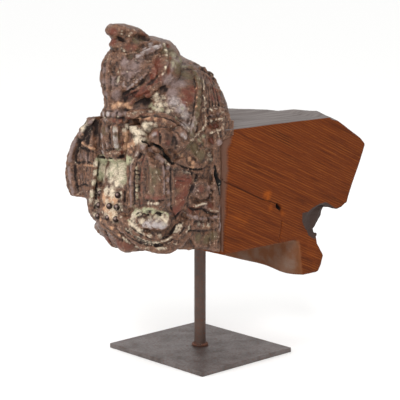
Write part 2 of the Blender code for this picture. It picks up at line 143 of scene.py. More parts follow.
class TimberSettings(bpy.types.PropertyGroup):
    grain: FloatProperty(
        name="Timber grain", description="Size of the facets that the timber is cut in",
        default=0.0013, min=0.0008, max=0.004, precision=5, unit="LENGTH")
    saw_spacing: FloatProperty(
        name="Saw mark spacing", description="Distance from one saw mark to the next",
        default=0.0024, min=0.001, max=0.01, precision=4, unit="LENGTH")
    unevenness: FloatProperty(
        name="Unevenness", description="Height of the waves in the sawn faces",
        default=0.0004, min=0.0, max=0.002, precision=5, unit="LENGTH")
    teak: colour_property("Sawn teak", "Bare sawn side of the timber", "602b0d")
    dark_teak: colour_property("Dark grain", "Dark growth lines and resin", "3d1907")
    light_teak: colour_property("Light grain", "Fibres that the saw has raised", "7d4318")
    weathered: colour_property("Weathered grey", "Top of the timber that the sun has bleached", "77706d")
    hollow_wood: colour_property("Old hollow", "Grey-violet old surface inside the mouth", "40322d")
    knot: colour_property("Knot", "Orange resin in the knots", "9c4c10")
    weathered_dark: colour_property("Weathered dark", "Darker streaks of the bleached top", "5d5552")
    split_wood: colour_property("Split face", "Pinkish old split face below the mouth", "74492f")
    split_dust: colour_property("Dust", "Pale dust on the split face", "806a5c")
    old_edge: colour_property("Old edge", "Grey-brown old surface along the carving", "66493c")
    # Near-black inside of the crack: painted shade
    crack: colour_property("Crack", "Inside of the crack", "150c08")


class StandSettings(bpy.types.PropertyGroup):
    steel: colour_property("Oxidised steel", "Grey-brown skin of hot rolled steel", "6b6462")
    rod_steel: colour_property("Rod steel", "Browner skin of the round bar", "5c4a42")
    dark_scale: colour_property("Mill scale", "Darker patches of scale", "453c38")
    rust: colour_property("Rust", "Brown rust along edges and at the weld", "6a4536")
    bead_radius: FloatProperty(
        name="Weld ripple radius", description="Size of one ripple of the weld bead",
        default=0.0017, min=0.0005, max=0.004, precision=4, unit="LENGTH")
    ripples: IntProperty(
        name="Weld ripples", description="Number of ripples around the rod",
        default=26, min=8, max=60)


class StageSettings(bpy.types.PropertyGroup):
    paper: colour_property("Backdrop paper", "Plain pale floor", "fbfbfa")
    key_power: FloatProperty(
        name="Key light", description="Power of the large soft light on the carved front",
        default=17.0, min=0.0, unit="POWER")
    fill_power: FloatProperty(
        name="Fill light", description="Power of the soft light on the sawn side",
        default=7.0, min=0.0, unit="POWER")
    wall_strength: FloatProperty(
        name="White walls", description="Brightness of the white studio all round",
        default=0.38, min=0.0)
    roof_strength: FloatProperty(
        name="White roof", description="Power of the wide soft light overhead",
        default=2.1, min=0.0)
    focal_length: FloatProperty(
        name="Focal length", description="Lens of the camera on a 36 mm sensor",
        default=129.6, min=10.0, subtype="DISTANCE_CAMERA")
    azimuth: FloatProperty(
        name="Camera azimuth", description="Angle round the bracket from its carved front",
        default=math.radians(46.8), subtype="ANGLE")
    pitch: FloatProperty(
        name="Camera pitch", description="How far the camera looks down",
        default=math.radians(10.42), subtype="ANGLE")
    distance: FloatProperty(
        name="Camera distance", description="Level distance from the rod to the camera",
        default=1.45774, min=0.1, unit="LENGTH")
    height: FloatProperty(
        name="Camera height", description="Height of the camera above the floor",
        default=0.42783, min=0.0, unit="LENGTH")


# Mesh helpers


def new_piece(name, mesh, *materials):
    piece = bpy.data.objects.new(name, mesh)
    bpy.context.scene.collection.objects.link(piece)
    for material in materials:
        mesh.materials.append(material)
    return piece


def evaluated_mesh(piece):
    """A plain mesh of the piece with its modifiers applied."""
    bpy.context.view_layer.update()
    graph = bpy.context.evaluated_depsgraph_get()
    return bpy.data.meshes.new_from_object(piece.evaluated_get(graph))


def skinned(mesh, voxel, passes):
    """One closed skin over overlapping closed forms, in metres."""
    holder = new_piece("forms", mesh)
    skin = holder.modifiers.new("one_skin", "REMESH")
    skin.mode = "VOXEL"
    skin.voxel_size = voxel
    soften = holder.modifiers.new("soften", "SMOOTH")
    soften.factor = 0.5
    soften.iterations = passes
    result = evaluated_mesh(holder)
    bpy.data.objects.remove(holder, do_unlink=True)
    drop_inner_shells(result)
    result.shade_smooth()
    return result


def thinned(mesh, triangles):
    """The mesh with no more than so many triangles, the fewest where it is flat."""
    mesh.calc_loop_triangles()
    share = triangles / len(mesh.loop_triangles)
    if share >= 1:
        return mesh
    holder = new_piece("thinned", mesh)
    thin = holder.modifiers.new("thin", "DECIMATE")
    thin.ratio = share
    result = evaluated_mesh(holder)
    bpy.data.objects.remove(holder, do_unlink=True)
    result.shade_smooth()
    return result


def drop_inner_shells(mesh):
    """Keeps the largest shell of a mesh and drops the small ones left inside it."""
    count = len(mesh.vertices)
    ends = np.empty(len(mesh.edges) * 2, np.int64)
    mesh.edges.foreach_get("vertices", ends)
    ends = ends.reshape(-1, 2)
    label = np.arange(count)
    while True:
        low = np.minimum(label[ends[:, 0]], label[ends[:, 1]])
        before = label.copy()
        np.minimum.at(label, ends[:, 0], low)
        np.minimum.at(label, ends[:, 1], low)
        label = label[label]
        if (label == before).all():
            break
    names, sizes = np.unique(label, return_counts=True)
    keep = names[sizes.argmax()]
    if len(names) > 1:
        shape = bmesh.new()
        shape.from_mesh(mesh)
        loose = [vert for vert, name in zip(shape.verts, label) if name != keep]
        bmesh.ops.delete(shape, geom=loose, context="VERTS")
        shape.to_mesh(mesh)
        shape.free()


def curve_mesh(curve):
    """A closed mesh of a curve with caps, with its loose cap points welded."""
    holder = new_piece("curve", curve)
    mesh = evaluated_mesh(holder)
    bpy.data.objects.remove(holder, do_unlink=True)
    bpy.data.curves.remove(curve)
    shape = bmesh.new()
    shape.from_mesh(mesh)
    bmesh.ops.remove_doubles(shape, verts=shape.verts, dist=1e-4)
    bmesh.ops.recalc_face_normals(shape, faces=shape.faces)
    shape.to_mesh(mesh)
    shape.free()
    return mesh


def write_masks(mesh, name, masks):
    """Keeps four masks of 0 to 1 as one colour attribute on the points."""
    layer = mesh.color_attributes.new(name, "FLOAT_COLOR", "POINT")
    layer.data.foreach_set("color", np.stack(masks, axis=1).astype(np.float32).ravel())


# The forms of the carving, in millimetres


class Forms:
    """Gathers overlapping closed forms in one mesh."""

    def __init__(self):
        self.shape = bmesh.new()

    def add_mesh(self, mesh, place=Matrix.Identity(4)):
        mesh.transform(place)
        self.shape.from_mesh(mesh)
        bpy.data.meshes.remove(mesh)

    def blob(self, centre, radii, tilt=0.0):
        """An ellipsoid, tilted by degrees about X."""
        ball = bmesh.new()
        bmesh.ops.create_icosphere(ball, subdivisions=4, radius=1.0)
        mesh = bpy.data.meshes.new("blob")
        ball.to_mesh(mesh)
        ball.free()
        turn = Matrix.Rotation(math.radians(tilt), 4, "X")
        self.add_mesh(mesh, Matrix.Translation(centre) @ turn @ Matrix.Diagonal((*radii, 1)))

    def loft(self, sections, steps=64):
        """Level egg-shaped sections, each (up, half width, front, back, narrowing to the front)."""
        shell = bmesh.new()
        rings = []
        for up, half, front, back, narrow in sections:
            middle, reach = (front + back) / 2, (back - front) / 2
            ring = []
            for step in range(steps):
                angle = 2 * math.pi * step / steps
                across = half * math.sin(angle) * (1 - narrow * math.cos(angle))
                ring.append(shell.verts.new((across, middle - reach * math.cos(angle), up)))
            rings.append(ring)
        for low, high in zip(rings, rings[1:]):
            for step in range(steps):
                after = (step + 1) % steps
                shell.faces.new((low[step], low[after], high[after], high[step]))
        shell.faces.new(rings[0])
        shell.faces.new(rings[-1])
        bmesh.ops.recalc_face_normals(shell, faces=shell.faces)
        mesh = bpy.data.meshes.new("loft")
        shell.to_mesh(mesh)
        shell.free()
        self.add_mesh(mesh)

    def cord(self, points, radius):
        """A round ridge that follows a smooth curve through the points."""
        curve = bpy.data.curves.new("ridge", "CURVE")
        curve.dimensions = "3D"
        curve.bevel_depth = radius
        curve.bevel_resolution = 4
        curve.resolution_u = 10
        curve.use_fill_caps = True
        spline = curve.splines.new("NURBS")
        spline.points.add(len(points) - 1)
        for point, spot in zip(spline.points, points):
            point.co = (*spot, 1.0)
        spline.order_u = 3
        spline.use_endpoint_u = True
        self.add_mesh(curve_mesh(curve))

    def board(self, outline, middle, half_depth, plane):
        """An outline of given depth, in the front plane (across, up) or the side (along, up)."""
        curve = bpy.data.curves.new("outline", "CURVE")
        curve.dimensions = "2D"
        curve.fill_mode = "BOTH"
        curve.extrude = half_depth
        spline = curve.splines.new("POLY")
        spline.points.add(len(outline) - 1)
        for point, (u, v) in zip(spline.points, outline):
            point.co = (u, v, 0.0, 1.0)
        spline.use_cyclic_u = True
        if plane == "side":
            facing = Matrix(((0, 0, 1, middle), (1, 0, 0, 0), (0, 1, 0, 0), (0, 0, 0, 1)))
        else:
            facing = Matrix(((1, 0, 0, 0), (0, 0, -1, middle), (0, 1, 0, 0), (0, 0, 0, 1)))
        self.add_mesh(curve_mesh(curve), facing)


def mirrored(points):
    return [(-across, along, up) for across, along, up in points]


FLANK = [(-30, 125), (-70, 127), (-92, 131), (-100, 137), (-104, 170), (-104, 240), (-30, 243)]
FAR_FLANK = [
    (-30, 124), (-66, 124), (-88, 132), (-92, 162), (-104, 176), (-104, 240), (-30, 243),
]
LEG = [
    (28, 169), (25, 190), (25, 220), (29, 250), (36, 249), (47, 236),
    (58, 222), (67, 208), (70, 194), (69, 178), (62, 168),
]
FLAP = [(-104, 216), (-80, 220), (-71, 200), (-74, 178), (-90, 160), (-101, 174), (-106, 196)]
TORN_WOOD = [(-40, 230), (-19, 236), (-18, 250), (-23, 251), (-25, 258), (-30, 263), (-40, 262)]
MARGIN = [(-36, 121), (-45, 124), (-46, 236), (-36, 243)]
SIDE_PANEL = [(-38, 126), (-64, 129), (-78, 150), (-70, 205), (-58, 226), (-38, 230)]

BREAST = (
    (122, 16, -104, -60, 0.0), (130, 26, -116, -60, 0.0), (140, 32, -125, -60, 0.0),
    (150, 33, -129, -60, 0.0), (165, 32, -126, -60, 0.0), (186, 30, -121, -60, 0.0),
    (206, 28, -116, -60, 0.0), (222, 22, -108, -60, 0.0),
)
HEAD = (
    (209, 11, -112, -84, 0.0), (214, 16, -118, -80, 0.1), (226, 18, -121, -76, 0.15),
    (240, 18, -122, -74, 0.2), (252, 20, -122, -70, 0.25), (264, 25, -122, -64, 0.35),
    (280, 34, -125, -58, 0.5), (295, 38, -128, -50, 0.55), (308, 37, -126, -46, 0.55),
    (318, 30, -118, -44, 0.45), (326, 20, -110, -46, 0.2), (331, 10, -100, -66, 0.0),
)
NOSEBAND = (
    (251, 16, -122, -76, 0.2), (253, 18, -125, -74, 0.2),
    (263, 20, -125, -72, 0.25), (266, 18, -122, -72, 0.3),
)

# Each blob: centre, radii, tilt, and whether the far side has it too
BLOBS = (
    ((0, -38, 234), (65, 53, 76), 0, False),
    ((28, -54, 254), (32, 42, 40), 0, True),
    ((8, -111, 237), (8.5, 11, 24), 0, True),
    ((0, -110, 217), (15, 10, 7), 0, False),
    ((0, -95, 333), (12, 27, 10), -15, False),
    ((0, -107.5, 337), (11, 11, 8), -10, False),
    ((0, -92, 324), (14, 24, 10), 0, False),
    ((10, -96, 321), (6, 8, 6), 0, True),
    ((58, -105, 238), (9, 13, 12), 0, False),
    ((58, -86, 236), (10, 15, 13), 0, False),
    ((-54, -84, 236), (10, 15, 13), 0, False),
    ((54, -107, 161), (15, 12, 11), 0, False),
    ((-46, -92, 152), (14, 10, 11), 0, False),
    ((35, -94, 253), (13, 13, 12), 0, False),
    ((-35, -86, 251), (13, 12, 12), 0, False),
    ((50, -103, 145), (11, 11, 10), 0, False),
    ((-3, -107.5, 136), (11, 13, 11), 0, False),
    ((13, -108, 134), (11, 13, 11), 0, False),
    ((67, -38, 230), (2.8, 3.6, 3.6), 0, True),
    ((46, -92, 249), (15, 13, 12), 0, False),
    ((38, -113, 160), (15, 11, 13), 0, False),
    ((-24, -106, 228), (9, 8, 24), 0, False),
    ((8, -104, 330), (4.2, 5, 4.2), 0, True),
    ((-33, -110, 170), (9, 10, 22), 0, False),
)

# Each cord: points, radius, and whether the far side has it too
CORDS = (
    ([(18, -112, 258), (30, -104, 262), (44, -90, 258), (53, -80, 252), (61, -68, 241)], 4.5,
     False),
    ([(-15, -108, 256), (-26, -98, 260), (-44, -84, 258), (-53, -78, 252), (-61, -68, 241)], 4.5,
     False),
    ([(0, -28, 306.5), (26, -36, 299), (43, -44, 290), (55, -55, 276), (60, -62, 258),
      (61, -70, 243), (60, -74, 230)], 4.2, True),
    ([(10, -24, 301), (36, -34, 294), (50, -41, 283), (59, -48, 264), (63, -52, 226)], 3.4, True),
    ([(26, -64, 318), (36, -68, 311), (40, -76, 300), (37, -88, 288), (28, -98, 278)], 3.6, True),
    ([(31, -94, 299), (24, -104, 292), (17, -112, 284)], 4.0, True),
    ([(30, -78, 323), (24, -96, 318), (14, -114, 305)], 3.4, True),
    ([(30, -78, 314), (24, -96, 309), (14, -114, 296)], 3.4, True),
    ([(30, -31, 299), (32, -16, 290)], 3.2, True),
    ([(48, -39, 285), (47, -19, 276)], 3.2, True),
    ([(56, -46, 271), (55, -22, 264)], 3.2, True),
    ([(61, -50, 257), (60, -26, 252)], 3.2, True),
    ([(63, -52, 243), (64, -36, 240)], 3.2, True),
    ([(63, -52, 229), (64, -38, 227)], 3.2, True),
)


def roundel_arc(radius, start, end, steps, across):
    """Points round the roundel's middle on the flank, angles in degrees from the tail."""
    points = []
    for step in range(steps + 1):
        angle = math.radians(start + (end - start) * step / steps)
        points.append((across, -56 + radius * math.cos(angle), 186 + radius * math.sin(angle)))
    return points


def gather_forms():
    """The main forms, the same as those of the solid, with rounder facets."""
    forms = Forms()
    forms.board(FLANK, 8, 52, "side")
    forms.board(FAR_FLANK, -24, 36, "side")
    for sections in (BREAST, HEAD, NOSEBAND):
        forms.loft(sections)
    for centre, radii, tilt, both in BLOBS:
        forms.blob(centre, radii, tilt)
        if both:
            forms.blob(mirrored([centre])[0], radii, tilt)
    for points, radius, both in CORDS:
        path = points if len(points) > 2 else [points[0]] * 2 + [points[1]] * 2
        forms.cord(path, radius)
        if both:
            forms.cord(mirrored(path), radius)
    forms.board(LEG, -109, 11.5, "front")
    forms.board([(-u, v + 3) for u, v in LEG], -109, 11.5, "front")
    forms.board(TORN_WOOD, 62, 6.5, "side")
    roundel = [(along, up) for _, along, up in roundel_arc(10, 0, 350, 35, 0)]
    for side in (1, -1):
        forms.board(FLAP, side * 60, 5, "side")
        forms.board(SIDE_PANEL, side * 58, 5.5, "side")
        forms.board(roundel, side * 60, 5, "side")
        for radius in (19, 27):
            forms.cord(roundel_arc(radius, 200, 330, 12, side * 61), 3.0)
    for rise in (0, 9):
        festoon = [
            (20, -124, 154 + rise), (38, -121, 141 + rise), (54, -112, 134 + rise),
            (61, -98, 132 + rise), (63, -82, 139 + rise), (62, -68, 152 + rise),
        ]
        forms.cord(festoon, 4.8)
        forms.cord([(-0.9 * x, y + 16, z + 3) for x, y, z in festoon], 4.5)
    forms.board(MARGIN, 0, 68, "side")
    mesh = bpy.data.meshes.new("forms")
    forms.shape.to_mesh(mesh)
    forms.shape.free()
    mesh.transform(Matrix.Scale(MM, 4))
    return mesh


# Pressed hollows: centre, radii and depth, on both sides
HOLLOWS = (
    ((20, -98, 292), (24, 26, 8), 3.5),
    ((18, -112, 276), (12, 14, 6), 3.0),
    ((11, -108, 334), (9, 8, 6), 2.2),
    ((12, -86, 333), (8, 10, 6), 3.5),
    ((48, -121, 206), (11, 8, 26), 4.0),
    ((48, -121, 178), (9, 8, 5), 2.5),
    ((0, -133, 292), (5, 16, 34), 2.0),
    ((0, -124, 236), (4, 10, 22), 3.0),
    ((34, -110, 222), (7, 14, 20), 5.0),
    ((65, -114, 148), (14, 10, 5), 2.0),
    ((35, -121, 240), (9, 9, 13), 3.5),
)

# Where the photograph shows each stroke, comb and patch, in pixels of the 400 x 400 photograph.
# Each carved stroke: half width, height (below 0 is cut in), tint, on both sides, pixels
# A soot or black tint darkens a cut as painted shade; a patina tint lightens a ridge partly as painted
# highlight
STROKES = {
    "topknot_under": (1.7, -2.0, "", True, [(113, 49), (120, 50.5), (128, 51), (136, 49.5), (143, 45),
        (150, 41)]),
    "topknot_rim": (1.9, 1.0, "", True, [(109, 33), (111, 27), (117, 25.5), (123, 28), (127, 31),
        (130, 36), (127, 42), (123, 46)]),
    "topknot_slit": (1.2, -2.0, "soot_and_shade", True, [(117, 37), (121, 39.5), (124, 42)]),
    "topknot_back": (2.2, -1.4, "", True, [(134, 38), (140, 38), (147, 40)]),
    "topknot_edge": (1.5, 1.0, "bole", True, [(131, 33), (138, 32), (146, 36)]),
    "forelock_split": (1.2, -1.2, "", False, [(115, 52), (111, 60), (110.5, 70), (111, 85), (112, 100)]),
    "brow": (1.6, 2.2, "patina_and_highlight", True, [(146, 75), (139, 79), (132, 84), (127, 90)]),
    "brow_low": (1.4, -2.2, "soot_and_shade", True, [(150, 70), (145, 79), (138, 86), (130, 91), (124, 95)]),
    "temple": (4.5, -2.0, "bole", True, [(158, 58), (157, 68), (152, 77)]),
    "temple_fold": (1.4, 1.0, "bole", True, [(152, 66), (156, 71), (152, 79), (144, 86)]),
    "cheek_rim": (1.5, 1.8, "gesso", True, [(163.5, 45), (166, 52), (166.5, 61), (165, 69), (162, 75)]),
    "rim_groove": (1.8, -1.6, "bole", True, [(168, 45), (170, 52), (170.5, 60), (170, 68), (167.5, 77),
        (161, 84)]),
    "eye_hollow": (3.6, -2.8, "bole", True, [(147, 92), (139, 94), (131, 97), (125, 100)]),
    "eye_lid": (1.5, 1.3, "bole", True, [(150, 95), (143, 97), (136, 99.5), (130, 104)]),
    "cheek_hollow": (4.2, -2.6, "soot_and_shade", True, [(138, 102), (142, 101), (147, 101)]),
    "cheek_bone": (2.6, 1.4, "gesso", True, [(155, 93), (157, 100), (155, 107)]),
    "cheek_notch": (2.6, -2.4, "soot_and_shade", True, [(160, 89), (165, 88)]),
    "face_middle": (1.3, -0.9, "", False, [(105, 64), (104, 78), (105, 92), (107, 106)]),
    "face_cut": (1.0, -0.6, "", False, [(101.5, 72), (102, 86), (104.5, 100), (105, 108)]),
    "face_ridge": (1.5, 1.3, "", False, [(108, 66), (107.5, 80), (108, 94), (110, 106)]),
    "face_line": (1.1, 1.2, "gesso", True, [(121, 73), (119, 79), (117, 85)]),
    "noseband_top": (1.2, -1.2, "soot_and_shade", False, [(101, 110), (111, 111), (123, 111), (131, 110)]),
    "noseband_mid": (0.9, -1.2, "soot_and_shade", False, [(101, 117.5), (112, 118), (124, 118)]),
    "noseband_low": (1.1, -1.0, "", False, [(101, 123.5), (112, 124.5), (124, 124), (130, 122)]),
    "noseband_cut_1": (0.9, -1.3, "", False, [(110.5, 111), (110.5, 117), (110, 124)]),
    "noseband_cut_2": (0.9, -1.3, "", False, [(123.5, 111), (124, 117), (123.5, 124)]),
    "noseband_cut_3": (0.8, -1.2, "soot_and_shade", False, [(117, 112), (117, 118)]),
    "noseband_cut_4": (0.8, -1.0, "soot_and_shade", False, [(105.5, 111), (105.5, 118)]),
    "strap_top": (1.3, 1.4, "patina_and_highlight", True, [(131, 109), (141, 108), (151, 108.5), (160, 110)]),
    "strap_upper": (1.5, 1.8, "", True, [(131, 116.5), (140, 114.5), (151, 114), (161, 114.5),
        (169, 117.5), (179, 123.5), (190, 133)]),
    "strap_lower": (1.5, 1.8, "", True, [(134, 122), (143, 120), (152, 119), (161, 119.5), (170, 122.5),
        (179, 128), (187, 136)]),
    "strap_middle": (1.1, -1.6, "soot_and_shade", True, [(131, 119.5), (141, 117.5), (151, 116.5), (161, 117),
        (170, 120), (179, 126), (188, 135)]),
    "strap_under": (1.0, -1.0, "", True, [(133, 125), (143, 123), (152, 122), (161, 123), (169, 126.5),
        (176, 131), (183, 138)]),
    "strap_over": (1.0, -0.9, "soot_and_shade", True, [(133, 112.5), (141, 111.5), (151, 111), (161, 112),
        (170, 115), (180, 121), (191, 131)]),
    "cheek_hole": (0.7, -2.0, "soot_and_shade", False, [(140, 124), (140.5, 128)]),
    "muzzle_slit": (1.2, -2.8, "soot_and_shade", False, [(110, 126), (109.5, 133), (110, 141), (112, 149)]),
    "muzzle_left_1": (1.0, -1.6, "", False, [(103.5, 124), (104, 135), (105, 147), (106, 155)]),
    "muzzle_left_2": (1.0, -1.0, "soot_and_shade", False, [(100.5, 124), (99.5, 134), (99.5, 146), (102, 156)]),
    "muzzle_edge": (1.2, -1.2, "", False, [(121.5, 126), (121.5, 137), (120.5, 148)]),
    "muzzle_column": (2.4, 1.4, "", False, [(115.5, 128), (115.5, 138), (117, 148)]),
    "lip": (1.1, -1.5, "", False, [(104, 151), (111, 149.5), (119, 150)]),
    "lip_low": (1.2, 1.2, "gesso", False, [(108, 153.5), (114, 153), (120, 153.5)]),
    "chin": (1.6, -3.0, "soot_and_shade", False, [(99, 157), (107, 159), (116, 158.5), (124, 156.5)]),
    "jaw_line": (1.2, -1.0, "", True, [(124, 127), (124, 140), (123, 152)]),
    "collar_edge": (1.0, -0.8, "soot_and_shade", True, [(194, 76), (195.5, 85), (195.5, 95), (194.5, 105),
        (192.5, 115), (189.5, 128), (188, 138)]),
    "collar_ridge": (1.9, 1.8, "olive", True, [(190, 67), (195, 74), (198.5, 82), (199, 92), (198.5, 102),
        (197, 113), (194.5, 125), (191, 137)]),
    "mane_inner": (1.4, 2.0, "gesso", True, [(196, 68), (201, 76), (203, 84), (203.5, 94), (204, 104),
        (205, 114), (205.5, 124)]),
    "mane_gap": (1.2, -1.2, "soot_and_shade", True, [(200, 72), (205, 80), (207, 90), (207.5, 100), (208, 110),
        (208.5, 124)]),
    "mane_top_gap": (1.5, -2.0, "soot_and_shade", True, [(196, 64), (204, 68), (210, 73), (213, 79)]),
    "mane_outer": (1.6, 1.6, "", True, [(203, 67), (211, 72), (216, 80), (219, 90), (221, 100),
        (222, 110), (222.5, 120), (223, 132)]),
    "rung_1": (1.3, 1.8, "gesso", True, [(209, 111.5), (219, 109)]),
    "rung_2": (1.5, 2.0, "gesso", True, [(209, 121), (220, 118.5)]),
    "rung_3": (1.3, 1.6, "gesso", True, [(209, 132.5), (220, 129.5)]),
    "rung_side": (0.9, 1.5, "gesso", True, [(219.5, 107), (221, 117), (222, 128), (223, 138)]),
    "cell_1": (2.6, -2.0, "soot_and_shade", True, [(211, 116.5), (217.5, 114.5)]),
    "cell_2": (2.4, -1.8, "bole", True, [(212, 126.5), (218, 125)]),
    "cell_3": (2.0, -1.6, "bole", True, [(210, 138), (213, 143)]),
    "mane_bead": (3.4, 1.6, "patina_and_highlight", True, [(219, 142.5)]),
    "lobe_top": (1.3, -1.9, "", True, [(149, 131), (151, 128), (160, 127), (168, 127), (176, 131),
        (183, 138), (186, 143)]),
    "lobe_parting": (1.3, -2.2, "soot_and_shade", True, [(159, 130), (161, 137), (160.5, 146)]),
    "lobe_seam": (1.0, -1.2, "soot_and_shade", True, [(173, 134), (177, 142), (176, 149)]),
    "crack": (2.3, -9.0, "crack_shade", False, [(146, 142), (153, 146), (160, 149), (163, 153), (168, 158),
        (174, 163)]),
    "crack_start": (0.9, -4.0, "crack_shade", False, [(143, 141), (147, 142.5)]),
    "crack_hole": (2.7, -7.0, "crack_shade", False, [(215, 168), (217, 175), (219.5, 184)]),
    "crack_low": (0.8, -2.0, "crack_shade", False, [(219, 184), (219.5, 195)]),
    "crack_lip": (1.2, 1.4, "gesso", False, [(164, 160), (170, 166), (178, 170.5), (190, 173)]),
    "fan_left": (1.3, 1.6, "gesso", True, [(205, 126), (197, 134), (188, 142)]),
    "fan_right": (1.2, 1.2, "", True, [(205, 128), (205.5, 140), (206, 152), (206, 163)]),
    "fan_low": (1.2, 1.2, "olive", True, [(188, 149), (196, 157), (204, 165)]),
    "leg_rim_left": (1.5, 1.6, "patina_and_highlight", False, [(131.5, 206), (131.5, 190), (131, 175), (132, 164)]),
    "leg_rim_arch": (1.4, 1.4, "gesso", False, [(132, 164), (136, 156), (140, 150), (146, 144.5)]),
    "leg_rim_right": (1.4, 1.4, "patina_and_highlight", False, [(152, 149), (159, 156), (163, 162)]),
    "leg_band_1": (1.0, -1.8, "soot_and_shade", False, [(134, 205), (134, 190), (134, 175), (136, 163),
        (141, 154)]),
    "leg_band_2": (0.9, -1.0, "soot_and_shade", False, [(140, 205), (140, 190), (140, 175), (142, 163),
        (146, 153)]),
    "leg_band_red": (1.2, 1.3, "bole", False, [(142, 204), (142, 190), (142.5, 175), (144, 163),
        (147, 155)]),
    "leg_band_3": (0.9, -1.6, "", False, [(145, 196), (145, 180), (146, 168), (149, 160), (152, 156)]),
    "leg_panel_low": (3.6, -1.8, "olive", False, [(154, 170), (154, 184)]),
    "leg_inner_right": (1.2, 1.4, "patina_and_highlight", False, [(160, 160), (163, 170), (163.5, 182), (163.5, 193)]),
    "leg_side_cut": (1.0, -1.3, "", False, [(165.5, 163), (166, 178), (166, 193), (166, 207)]),
    "leaf_stem": (0.9, 1.4, "gesso", False, [(155, 166), (156, 174), (159, 181)]),
    "leaf_fork": (0.8, 1.0, "gesso", False, [(153, 178), (155.5, 173)]),
    "leg_bar": (1.6, 1.8, "bole", False, [(146, 197), (155, 198), (164, 197)]),
    "leg_bar_cut": (0.9, -1.6, "soot_and_shade", False, [(146, 200.5), (155, 201.5), (164, 200.5)]),
    "leg_block": (1.8, 1.8, "gesso", False, [(149, 203.5), (157, 203.5)]),
    "leg_foot_1": (1.5, 1.3, "olive", False, [(133, 206), (137, 208)]),
    "flap_left": (1.4, -1.8, "soot_and_shade", True, [(171, 166), (171, 180), (171.5, 195), (172, 208),
        (174, 216)]),
    "flap_top": (1.2, -1.2, "soot_and_shade", True, [(171, 170), (180, 170), (190, 172), (197, 175)]),
    "flap_right": (1.5, -2.2, "soot_and_shade", True, [(198, 176), (194, 184), (190, 193), (187, 203), (182, 211),
        (175, 218)]),
    "roundel_ring": (1.3, 1.8, "", True, [(193, 190), (195, 184), (200, 181), (206, 183), (209, 189),
        (207, 195), (201, 197), (195, 196), (193, 190)]),
    "roundel_cut": (1.1, -1.4, "", True, [(190, 191), (192, 182), (200, 177.5), (208, 180), (212, 188),
        (210, 197), (202, 201), (193, 199), (190, 191)]),
    "arc_1": (1.3, 1.8, "gesso", True, [(190, 203), (195, 206), (200, 204), (205, 203.5), (209, 209),
        (217, 211)]),
    "arc_1_cut": (1.0, -1.6, "soot_and_shade", True, [(188, 206), (194, 210), (203, 209), (208, 213), (216, 215)]),
    "arc_2": (1.4, 1.6, "patina_and_highlight", True, [(183, 211), (188, 215), (196, 218), (206, 218.5), (216, 217)]),
    "arc_2_cut": (1.0, -1.4, "", True, [(181, 214), (187, 218.5), (196, 221.5), (207, 221.5),
        (217, 220)]),
    "arc_3": (1.4, 1.6, "", True, [(179, 218), (186, 223), (195, 226), (207, 226), (217, 225)]),
    "arc_3_cut": (1.1, -1.2, "soot_and_shade", True, [(184, 227), (193, 231), (205, 231), (216, 230)]),
    "scale_cut_1": (0.9, -1.4, "soot_and_shade", True, [(214, 190), (218, 203)]),
    "side_bead_1": (2.6, 1.4, "", True, [(213, 187)]),
    "margin_ridge": (1.3, 1.2, "patina_and_highlight", True, [(223, 152), (224, 170), (223.5, 190), (223, 210),
        (222.5, 230)]),
    "margin_groove": (0.9, -1.0, "soot_and_shade", True, [(220, 186), (220, 205), (219.5, 225), (219, 243)]),
    "garland_1": (1.7, 2.0, "gesso", True, [(125, 227), (131, 233), (140, 238.5), (149, 242.5)]),
    "garland_1b": (1.6, 1.8, "gesso", True, [(149, 242.5), (160, 243), (170, 238), (178, 231),
        (183, 223)]),
    "garland_2": (1.7, 2.0, "gesso", True, [(121, 236), (130, 243), (141, 247.5), (155, 249), (168, 247),
        (179, 241), (187, 231), (190, 224)]),
    "garland_groove": (1.0, -2.0, "soot_and_shade", True, [(121, 233), (131, 239), (141, 243.5), (153, 246),
        (165, 244.5), (176, 238), (184, 229)]),
    "garland_in": (1.1, -2.0, "soot_and_shade", False, [(128, 224), (135, 231), (144, 236), (153, 239), (163, 238),
        (171, 233), (176, 225)]),
    "cloth_arc": (2.2, 2.0, "green", False, [(129, 222), (135, 213.5), (143, 210), (152, 209), (161, 211),
        (167, 217)]),
    "cloth_groove": (1.5, -1.1, "", False, [(142, 224), (146, 217.5), (154, 216.5), (163, 218),
        (166, 224)]),
    "hoof_1": (3.0, 2.4, "", False, [(146, 224.5)]),
    "hoof_2": (2.8, 2.6, "", False, [(154.5, 224)]),
    "hoof_3": (2.8, 2.6, "", False, [(162, 225)]),
    "hoof_low": (1.0, -0.6, "", False, [(143, 230), (152, 231), (161, 232), (167, 229)]),
    "chest_left": (1.1, -2.2, "soot_and_shade", False, [(99.5, 163), (98, 178), (96.5, 192), (95, 208)]),
    "chest_strip": (1.6, 1.2, "", False, [(96.5, 160), (95, 175), (93, 190), (91.5, 203)]),
    "chest_fold": (1.2, -0.6, "", False, [(99, 184), (108, 182), (118, 180), (127, 178)]),
    "chest_right": (1.2, -1.2, "soot_and_shade", False, [(129, 160), (129, 172), (128.5, 186), (128, 200)]),
    "chest_slit": (0.9, -2.2, "soot_and_shade", False, [(125, 192), (124.5, 201)]),
    "chest_line": (0.9, 1.2, "gesso", False, [(122.5, 204), (122, 219)]),
    "chest_plate": (4.0, 1.4, "ochre", False, [(108, 198), (108, 212)]),
    "orange_band": (1.9, 2.0, "ochre", False, [(101, 220), (107, 224), (114, 230), (122, 238)]),
    "band_cut": (1.1, -1.4, "soot_and_shade", False, [(102, 224.5), (108, 229.5), (115, 236), (121, 241)]),
    "lobe_cut_1": (1.2, -2.6, "soot_and_shade", False, [(105, 232), (109, 240), (113, 248)]),
    "lobe_cut_2": (1.2, -2.4, "soot_and_shade", False, [(122, 240), (121.5, 250)]),
    "far_rim": (1.7, 2.2, "patina_and_highlight", False, [(93, 119.5), (86, 127), (80, 135), (74, 145), (71, 155),
        (70, 167), (71, 180), (74, 192)]),
